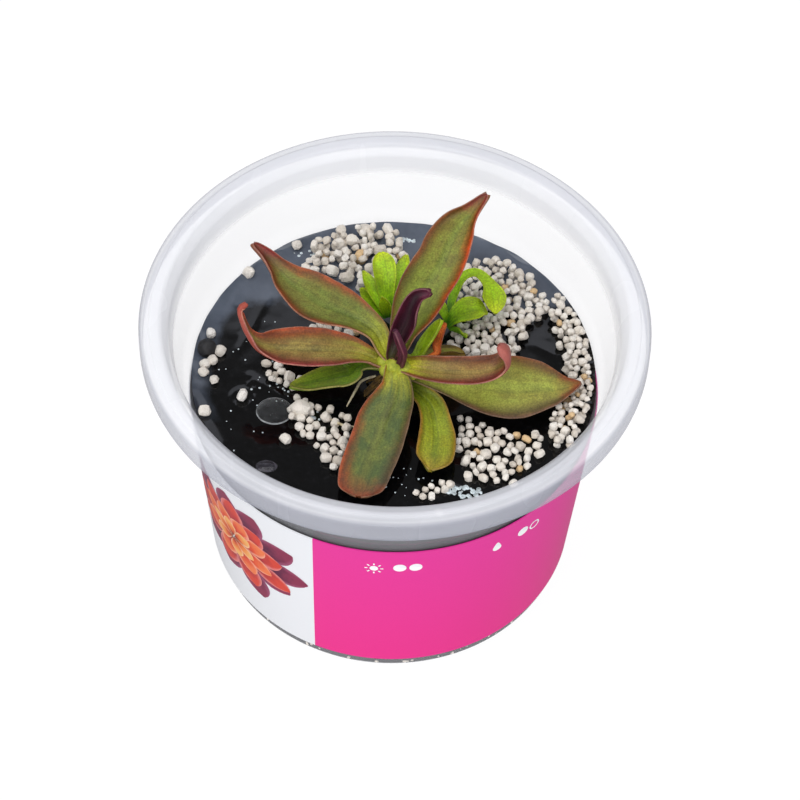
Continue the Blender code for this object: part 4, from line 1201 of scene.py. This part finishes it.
@dataclass
class Gel:
    """Black gel filling: a wet uneven surface with raised rings, bubbles and a raised edge."""
    steps: int = 320
    ring: float = 0.5
    bottom: float = 0.6
    toe: tuple[float, float] = (35.2, -1.32)
    toe_height: float = 4.0
    toe_skin: float = 0.2
    skin: float = 0.48
    bead_place: tuple[float, float, float] = (-37.9, 4.6, 49.2)
    bead_radius: float = 1.95
    seed: int = 17
    ridges: tuple = ((-2.2, 36.4, 4.1, 34.9, 0.9, 0.06), (-21.1, 28.8, -14.5, 33.4, 0.8, 0.06),
        (28.5, 8.4, 32.6, 5.9, 0.9, 0.06), (-28.9, -1.4, -22.7, -6.3, 0.7, 0.06),
        (-15.9, -9.6, -13.2, -12.1, 0.6, 0.08), (-14.5, -14.9, -11.3, -17.7, 0.8, 0.1),
        (9.6, -27.1, 17.5, -30.2, 1.0, 0.08), (-32.7, 20.0, -33.7, 16.7, 0.6, 0.06),
        (-26.3, 19.4, -31.3, 5.3, 0.8, 0.05))
    rings: tuple = ((-30.2, -7.3, 2.2, 0.4, 0.09), (-28.0, -3.8, 1.0, 0.35, 0.08),
        (-14.5, -10.9, 1.6, 0.35, 0.08), (-21.1, -17.8, 1.8, 0.35, 0.06), (-30.5, 25.0, 2.0, 0.4, 0.06),
        (-20.9, 32.9, 1.9, 0.4, 0.06))
    blisters: tuple = (("glassy_bubble", "#c4c8cc", 0.04, 0.8, (-23.6, -10.3), (3.7, 3.4, 1.5)),
        ("grey_blister", "#44424a", 0.5, 0.9, (-24.5, -24.0), (2.2, 1.5, 0.5)), ("dark_blister",
        "#26262a", 0.5, 0.9, (-12.9, -16.3), (2.3, 1.2, 0.7)))
    # Patches of pale drops: middle, spread across and towards the rear, count and sizes; part froth,
    # part painted glints where the soft boxes' highlights lie
    froth_and_glint_patches: tuple = (((-24.0, -4.5), (5.0, 3.5), 16, (0.12, 0.3)), ((-27.0, 4.0), (9.0, 12.0),
        22, (0.1, 0.26)), ((-14.6, -11.0), (2.2, 2.0), 9, (0.2, 0.45)), ((13.8, -29.0), (4.4, 1.4), 44,
        (0.25, 0.55)), ((1.0, 35.7), (3.2, 0.5), 20, (0.25, 0.45)), ((-18.0, 31.3), (3.4, 1.0), 14,
        (0.2, 0.4)), ((2.0, -26.5), (9.0, 4.0), 22, (0.1, 0.25)), ((-30.0, -16.0), (7.0, 9.0), 14,
        (0.1, 0.22)), ((25.0, -28.0), (6.0, 4.0), 10, (0.1, 0.25)))

    def rise(self, x: float, y: float) -> float:
        """Find how far the surface stands over its level at a place.

        Args:
            x: The place across.
            y: The place towards the rear.

        Returns:
            The rise.
        """
        seed = Vector((x, y, 0.0))
        height = 0.02 * noise.noise(seed * 0.12) + 0.006 * noise.noise(seed * 0.45)
        for x1, y1, x2, y2, width, tall in self.ridges:
            run = Vector((x2 - x1, y2 - y1))
            share = max(0.0, min(1.0, Vector((x - x1, y - y1)).dot(run) / run.length_squared))
            away = (Vector((x - x1, y - y1)) - run * share).length
            height += tall * math.exp(-(away / width) ** 2)
        for cx, cy, radius, width, tall in self.rings:
            away = math.hypot(x - cx, y - cy) - radius
            height += tall * math.exp(-(away / width) ** 2)
        return height

    def climb(self, x: float, y: float, edge: float) -> float:
        """Find how far the gel creeps up the wall at a place: least at the rear, ragged.

        Args:
            x: The place across.
            y: The place towards the rear.
            edge: Radius of the gel's edge.

        Returns:
            The rise.
        """
        radius = math.hypot(x, y)
        ragged = 1.0 + 0.8 * noise.noise(Vector((x, y, 5.0)) * 0.22)
        tall = (0.12 + 0.42 * abs(x) / max(radius, 1.0)) * ragged
        return tall * math.exp(-(edge - radius) / 1.1)

    def bubbles(self) -> None:
        """Set the blisters and the pale drops on the surface, whose pale colour also paints glints."""
        for name, colour, body, edge, (x, y), size in self.blisters:
            blister = orb(name, (x, y, GEL_LEVEL - 0.1), size, (32, 16), 0.03 * min(size), 900.0)
            deliver(dress(blister, ClearBlister(name, colour, body, edge).make()), "gel")
        rng = random.Random(self.seed)
        drops = []
        for (cx, cy), (wide, deep), count, sizes in self.froth_and_glint_patches:
            for _ in range(count):
                turn, reach = rng.uniform(0.0, math.tau), math.sqrt(rng.random())
                size = rng.uniform(*sizes)
                place = (cx + wide * reach * math.cos(turn), cy + deep * reach * math.sin(turn),
                         GEL_LEVEL)
                drops.append(orb("drop", place, (size, size, size * 0.6), (10, 5), 0.018 * size,
                                 900.0))
        # Painted highlight in part: the drops' pale, half-clear colour stands in for glints of the soft
        # boxes
        froth = ClearBlister("froth", "#dce8ee", 0.5, 0.85).make()
        deliver(dress(joined("froth", drops), froth), "gel")

    def build(self) -> None:
        """Turn the body, work its surface, add bubbles and the bead."""
        edge = wall_radius(GEL_LEVEL) - self.skin
        reach, low = self.toe
        profile = [(0.0, self.bottom), (reach, self.bottom), (reach + 0.2, low),
                   (wall_radius(low) - self.toe_skin, low),
                   (wall_radius(self.toe_height) - self.skin, self.toe_height), (edge, GEL_LEVEL)]
        profile += [(edge - 0.15 - index * self.ring, GEL_LEVEL)
                    for index in range(int(edge / self.ring))]
        obj = lathe("gel_body", [*profile, (0.0, GEL_LEVEL)], self.steps)
        for vertex in obj.data.vertices:
            x, y, z = vertex.co / MM
            if z - DATUM > GEL_LEVEL - 0.2:
                calm = ease(math.hypot(x, y), edge, edge - 2.0)
                stem = ease(math.hypot(x - STEM_PLACE[0], y - STEM_PLACE[1]), 1.0, 4.0)
                vertex.co.z += (self.rise(x, y) * calm * stem + self.climb(x, y, edge)) * MM
        deliver(dress(obj, WetGel().make()), "gel", "gel")
        self.bubbles()
        bead = orb("gel_bead", self.bead_place, [self.bead_radius] * 3, (36, 20), 0.06, 900.0,
                   self.bead_radius)
        deliver(dress(bead, CharcoalBead().make()), "gel")


@dataclass
class Crown:
    """Crown with its short stem, the roots that reach the gel and the pale strands on it."""
    height: float = 56.9
    radius: float = 1.9
    half_height: float = 2.5
    stem_bottom: float = GEL_LEVEL - 3.7
    root_top: tuple[float, float] = (52.5, 55.0)
    root_reach: tuple[float, float] = (3.2, 5.6)
    root_fan: tuple[float, float] = (150.0, 290.0)
    root_bend: float = 0.35
    roots: int = 56
    root_thick: tuple[float, float] = (0.08, 0.34)
    stem_radii: tuple[float, float, float] = (1.3, 1.4, 1.5)
    stem_middle: float = 52.0
    seed: int = 11
    knobs: tuple = ((0.2, -4.9, 57.6, 2.3, 1.7), (2.1, -6.3, 57.9, 1.8, 1.2),
        (-1.3, -6.2, 57.2, 1.7, 1.3), (2.6, -4.2, 57.8, 1.5, 1.1), (0.3, -7.6, 57.1, 1.5, 1.0),
        (-2.0, -4.3, 57.6, 1.4, 1.1), (3.6, -7.4, 57.4, 1.2, 0.8))
    strands: tuple = ((((-12.3, -12.4, 48.8), (-11.4, -13.4, 49.4), (-10.5, -13.9, 49.3),
                        (-9.0, -14.2, 49.0), (-7.4, -14.0, 48.7)), (0.15, 0.28, 0.3, 0.26, 0.14)),
                      (((-9.2, -9.7, 49.6), (-8.2, -8.0, 50.6), (-7.3, -6.3, 51.2),
                        (-6.4, -4.4, 51.8), (-3.6, -4.6, 53.2)), (0.14, 0.26, 0.3, 0.3, 0.25)))

    def root(self, rng: random.Random) -> bpy.types.Object:
        """Build one root from the crown down to the gel.

        Args:
            rng: Source of its direction, reach, top, thickness and bends.

        Returns:
            The root.
        """
        turn, reach = rng.uniform(*self.root_fan), rng.uniform(*self.root_reach)
        top, thick = rng.uniform(*self.root_top), rng.uniform(*self.root_thick)
        points, radii = [], []
        for step in range(6):
            share = step / 5
            plan = Vector(STEM_PLACE) + turned(math.radians(turn), 0.4 + reach * share ** 0.8,
                                               rng.uniform(-self.root_bend, self.root_bend))
            points.append(at(*plan, top + (GEL_LEVEL + 0.15 - top) * share ** 1.3))
            radii.append(thick * (1.25 - 0.5 * share))
        return tube("root", points, radii)

    def build(self) -> None:
        """Build the leaf bases over the crown, the crown piece and the pale roots."""
        knobs = [orb("knob", (x, y, z), (wide, wide, tall), (20, 12), 0.2, 500.0)
                 for x, y, z, wide, tall in self.knobs]
        flesh = RootBark("leaf_base_flesh", ("#808c24", "#98a02c", "#b0b43c")).make()
        deliver(dress(joined("leaf_bases", knobs), flesh), "green_leaf")
        core = orb("crown_core", (*STEM_PLACE, self.height),
                   (self.radius, self.radius, self.half_height), (28, 18), 0.25, 700.0,
                   self.radius)
        levels = (self.stem_bottom, self.stem_middle, self.height)
        stem = tube("stem", [at(*STEM_PLACE, level) for level in levels], self.stem_radii, 3)
        rng = random.Random(self.seed)
        pieces = [core, stem, *(self.root(rng) for _ in range(self.roots))]
        bark = RootBark("fibrous_crown", ("#2c2010", "#5a4420", "#8a7034")).make()
        deliver(dress(joined("crown_and_roots", pieces), bark), "crown", "crown")
        strands = [tube("strand", [at(*place) for place in places], radii)
                   for places, radii in self.strands]
        pale = RootBark("pale_root", ("#a89878", "#c8bc9c", "#e0d8c0")).make()
        deliver(dress(joined("pale_roots", strands), pale), "crown")


@dataclass(frozen=True)
class Drift:
    """Outline in plan of a drift of grains, its layers' height and its share of big grains."""
    name: str
    outline: tuple
    tall: float = 2.2
    amount: float = 1.0
    sizes: tuple[float, float] = (0.72, 1.15)

    def inside(self, x: float, y: float) -> bool:
        """Tell whether a point in plan lies inside the closed outline.

        Args:
            x: The point across.
            y: The point towards the rear.

        Returns:
            True inside.
        """
        hit = False
        for (x1, y1), (x2, y2) in zip(self.outline, self.outline[1:] + self.outline[:1]):
            if (y1 > y) != (y2 > y) and x < x1 + (y - y1) * (x2 - x1) / (y2 - y1):
                hit = not hit
        return hit


DRIFTS = (
    Drift("pumice_rear_left", ((-19, 26), (-17, 33), (-12, 36), (-5, 37.5), (0, 36), (2, 28), (-3, 24),
        (-7, 20.5), (-14, 24)), 3.8, 1.0, (0.75, 1.7)),
    Drift("pumice_left", ((-19, 11.5), (-13.5, 12.5), (-7.5, 11), (-7.5, 8.5), (-14, 8.5))),
    Drift("pumice_rear_right", ((13, 26), (17, 29.5), (22, 29.5), (28, 25), (31.5, 18), (28.5, 14),
        (25.5, 8), (24, 4), (15.5, 3), (11, 6.5), (13, 15), (13, 20)), 3.0, 1.2, (0.68, 1.25)),
    Drift("pumice_right_wall", ((32.5, 20), (35, 20), (38.5, 10), (40.3, 0), (39.5, -8), (35.5, -18),
        (31, -17), (31.5, -11), (35, -5), (34.5, 2), (35, 8), (31.5, 13)), 3.2, 1.2, (0.6, 1.15)),
    Drift("pumice_front_right", ((13, -10), (17, -12), (23, -14), (29, -14.5), (30.5, -18), (26, -24),
        (20.5, -27), (15, -26), (13, -20))),
    Drift("pumice_left_edge", ((-27, 2.5), (-22, 0.5), (-18, -2), (-20, -6), (-25, -2.5))),
    Drift("pumice_front_left", ((-19.5, -7.5), (-13, -9), (-8.5, -10.5), (-9, -17), (-10.5, -25.5),
        (-14, -21), (-18, -16), (-21, -11))),
    Drift("pumice_front", ((5, -29), (8, -28.5), (11, -26.5), (12, -28), (8, -31), (5, -31))),
)
LOOSE_GRAINS = ((-30.5, 25.0, 1.2), (-20.9, 32.9, 1.1), (-30.2, -7.3, 1.3), (-21.1, -17.8, 1.2),
    (-38.1, 0.6, 1.1), (-37.5, -11.4, 1.2), (-18.3, -10.7, 1.8), (-37.4, 8.6, 1.2), (-36.6, 1.6, 1.3),
    (-35.2, 4.2, 1.2), (-38.2, -1.4, 1.1), (-36.0, -3.2, 1.0), (-5.5, -27.8, 0.6), (9.5, -34.5, 0.8),
    (24.0, -27.0, 0.9), (33.5, 8.0, 0.9),)


@dataclass
class Pumice:
    """Grains of pumice: a few chipped shapes, copied into drifts and loose grains."""
    kinds: int = 24
    seed: int = 29
    sink: float = 0.75
    touch: float = 0.95
    tries: float = 5.0
    reach: float = 40.4
    amber: tuple[float, float] = (0.03, 0.86)
    foot_grains: int = 70
    foot_inset: float = 0.62
    shapes: list = field(default_factory=list)

    def model(self) -> None:
        """Model the chipped shapes of unit radius once."""
        for index in range(self.kinds):
            deselect()
            bpy.ops.mesh.primitive_cube_add(size=1.5)
            obj = named("chip")
            bpy.ops.object.mode_set(mode="EDIT")
            bpy.ops.mesh.select_all(action="SELECT")
            bpy.ops.mesh.subdivide(number_cuts=1)
            bpy.ops.transform.tosphere(value=0.75)
            bpy.ops.transform.vertex_random(offset=0.2, seed=index + 3, wait_for_input=False)
            bpy.ops.mesh.subdivide(number_cuts=1, smoothness=0.35)
            bpy.ops.transform.vertex_random(offset=0.05, seed=index + 60, wait_for_input=False)
            bpy.ops.object.mode_set(mode="OBJECT")
            self.shapes.append(([vertex.co.copy() for vertex in obj.data.vertices],
                                [tuple(face.vertices) for face in obj.data.polygons]))
            bpy.data.objects.remove(obj)

    def heap(self, name: str, places: Sequence[tuple], rng: random.Random,
             material: bpy.types.Material) -> bpy.types.Object:
        """Copy shapes to their places as one object.

        Args:
            name: Name of the object.
            places: Middle and radius of each grain, and its tone.
            rng: Source of turns and shapes.
            material: The finish.

        Returns:
            The object with the tone of each grain on its points.
        """
        verts, faces, tones = [], [], []
        for x, y, z, radius, tone in places:
            shape, rings = self.shapes[rng.randrange(self.kinds)]
            axis = Vector([rng.uniform(-1, 1) for _ in range(3)])
            turn = Matrix.Rotation(rng.uniform(0.0, math.tau), 3, axis.normalized())
            stretch = Vector((rng.uniform(0.85, 1.2), rng.uniform(0.8, 1.05),
                              rng.uniform(0.75, 1.0)))
            start = len(verts)
            verts += [at(x, y, z) + turn @ (corner * stretch) * (radius * MM) for corner in shape]
            tones += [tone] * len(shape)
            faces += [tuple(start + index for index in ring) for ring in rings]
        mesh = bpy.data.meshes.new(name)
        mesh.from_pydata(verts, [], faces)
        mesh.attributes.new("tone", "FLOAT", "POINT").data.foreach_set("value", tones)
        obj = placed(name, mesh)
        pick(obj)
        bpy.ops.object.shade_smooth_by_angle(angle=math.radians(26.0))
        return dress(obj, material)

    def rain(self, drift: Drift, rng: random.Random) -> list[tuple]:
        """Let grains fall into the outline, each one resting on what lies below it.

        Args:
            drift: The drift.
            rng: Source of places and sizes.

        Returns:
            Middle, radius and tone of each grain.
        """
        xs, ys = zip(*drift.outline)
        grains = []
        wanted = (max(xs) - min(xs)) * (max(ys) - min(ys)) * self.tries * drift.amount
        for _ in range(int(wanted)):
            x, y = rng.uniform(min(xs), max(xs)), rng.uniform(min(ys), max(ys))
            radius = drift.sizes[0] + (drift.sizes[1] - drift.sizes[0]) * rng.random() ** 1.6
            if not drift.inside(x, y) or math.hypot(x, y) > self.reach - radius:
                continue
            z = GEL_LEVEL + radius * self.sink
            for gx, gy, gz, gr, _ in grains:
                away = math.hypot(x - gx, y - gy)
                touch = self.touch * (radius + gr)
                if away < touch:
                    z = max(z, gz + math.sqrt(touch * touch - away * away))
            if z + radius < GEL_LEVEL + drift.tall:
                share, tone = self.amber
                grains.append((x, y, z, radius,
                               tone if rng.random() < share else rng.uniform(0.12, 0.62)))
        return grains

    def build(self) -> None:
        """Build every drift, the loose grains and those that show at the foot."""
        self.model()
        stone = PumiceStone().make()
        for drift in DRIFTS:
            rng = random.Random(self.seed + len(drift.name) * 7 + len(drift.outline))
            obj = self.heap("grains_" + drift.name, self.rain(drift, rng), rng, stone)
            deliver(obj, "pumice", drift.name)
        rng = random.Random(self.seed)
        loose = [(x, y, GEL_LEVEL + radius * self.sink, radius, rng.uniform(0.3, 0.7))
                 for x, y, radius in LOOSE_GRAINS]
        deliver(self.heap("loose_grains", loose, rng, stone), "pumice")
        reach = wall_radius(0.0) - self.foot_inset
        sunk = []
        for _ in range(self.foot_grains):
            turn = rng.uniform(0.0, math.tau)
            sunk.append((reach * math.cos(turn), reach * math.sin(turn), rng.uniform(-0.9, -0.2),
                         rng.uniform(0.35, 0.55), 0.4))
        deliver(self.heap("foot_grains", sunk, rng, stone), "pumice")


@dataclass
class Plant:
    """Rosette of leaves and the two offset plantlets."""

    def build(self) -> None:
        """Build every leaf, then the plantlets."""
        for blade in ROSETTE:
            deliver(blade.build(), blade.slot, blade.name).name = blade.name + "_skin"
        for name, blades in OFFSETS.items():
            obj = joined(name + "_skin", [blade.build() for blade in blades])
            deliver(obj, "lime_leaf", name)


@dataclass
class Studio:
    """White product table with soft boxes, and the camera of the photograph."""
    lens: float = 131.905
    position: tuple[float, float, float] = (0.0, -367.379, 510.876)
    right: tuple[float, float, float] = (0.99961986, 0.02021879, 0.01874416)
    upward: tuple[float, float, float] = (-0.02747039, 0.78833427, 0.61463359)
    forward: tuple[float, float, float] = (0.00234951, 0.61491485, -0.78859001)
    boxes: tuple = (((0.0, 0.05, 0.95), (0.7, 0.6), 3.4, "#ffffff"),
                    ((0.0, 0.873, 0.873), (1.4, 0.3), 1.5, "#eef2ff"),
                    ((-0.62, -0.5, 0.82), (0.8, 0.8), 6.0, "#fffdf8"),
                    ((0.7, -0.35, 0.6), (0.6, 0.6), 1.6, "#f6f9ff"),
                    ((0.1, -1.1, 0.42), (1.3, 0.5), 6.0, "#ffffff"))
    ambient: float = 0.2

    def floor(self) -> None:
        """Lay the white table."""
        deselect()
        bpy.ops.mesh.primitive_plane_add(size=6.0, location=(0, 0, 0))
        table = named("table")
        graph = Recipe("white_table", {"Base Color": "#404044", "Roughness": 0.9,
                                       "Emission Color": "#ffffff"})
        # Lit from below so that it shows white, but dimmer as a light on the pot's sides
        path = graph.add("LightPath").node.outputs
        glow = graph.add("Math:MULTIPLY_ADD", path["Is Diffuse Ray"], -0.3, 0.96)
        glow = graph.add("Math:MULTIPLY_ADD", path["Is Glossy Ray"], -0.66, glow)
        dress(table, graph.feed({"Emission Strength": glow}))

    def lights(self) -> None:
        """Hang the soft boxes, each turned to the pot, and set the pale surroundings."""
        for index, (place, size, power, colour) in enumerate(self.boxes):
            lamp = bpy.data.lights.new("soft_box_%d" % index, "AREA")
            lamp.shape = "RECTANGLE"
            lamp.size, lamp.size_y = size
            lamp.energy = power
            lamp.color = linear(colour)[:3]
            obj = placed(lamp.name, lamp)
            obj.location = place
            aim = Vector((0.0, 0.0, 0.05)) - Vector(place)
            obj.rotation_euler = aim.to_track_quat("-Z", "Y").to_euler()
        world = bpy.data.worlds.new("white_room")
        world.use_nodes = True
        bpy.context.scene.world = world
        tree = world.node_tree
        back = tree.nodes["Background"]
        back.inputs["Color"].default_value = linear("#ffffff")
        seen = tree.nodes.new("ShaderNodeLightPath").outputs["Is Camera Ray"]
        level = tree.nodes.new("ShaderNodeMapRange")
        level.inputs["To Min"].default_value = self.ambient
        tree.links.new(seen, level.inputs["Value"])
        tree.links.new(level.outputs["Result"], back.inputs["Strength"])

    def camera(self) -> None:
        """Set the camera by its measured place and axes."""
        data = bpy.data.cameras.new("camera")
        data.lens = self.lens
        data.sensor_width = 36.0
        data.clip_start, data.clip_end = 0.01, 20.0
        axes = Matrix((self.right, self.upward, [-value for value in self.forward])).transposed()
        obj = placed("camera", data)
        obj.matrix_world = Matrix.Translation(at(*self.position)) @ axes.to_4x4()
        bpy.context.scene.camera = obj

    def build(self) -> None:
        """Set up table, light, camera and a neutral view transform."""
        self.floor()
        self.lights()
        self.camera()
        settings = bpy.context.scene.view_settings
        settings.view_transform = "Standard"
        settings.look = "None"


def main() -> None:
    """Build every sub-assembly in order."""
    logging.basicConfig(level=logging.INFO, format="%(name)s: %(message)s")
    for part in (Studio(), Cup(), Label(), Gel(), Crown(), Plant(), Pumice()):
        part.build()


if __name__ == "__main__":
    main()
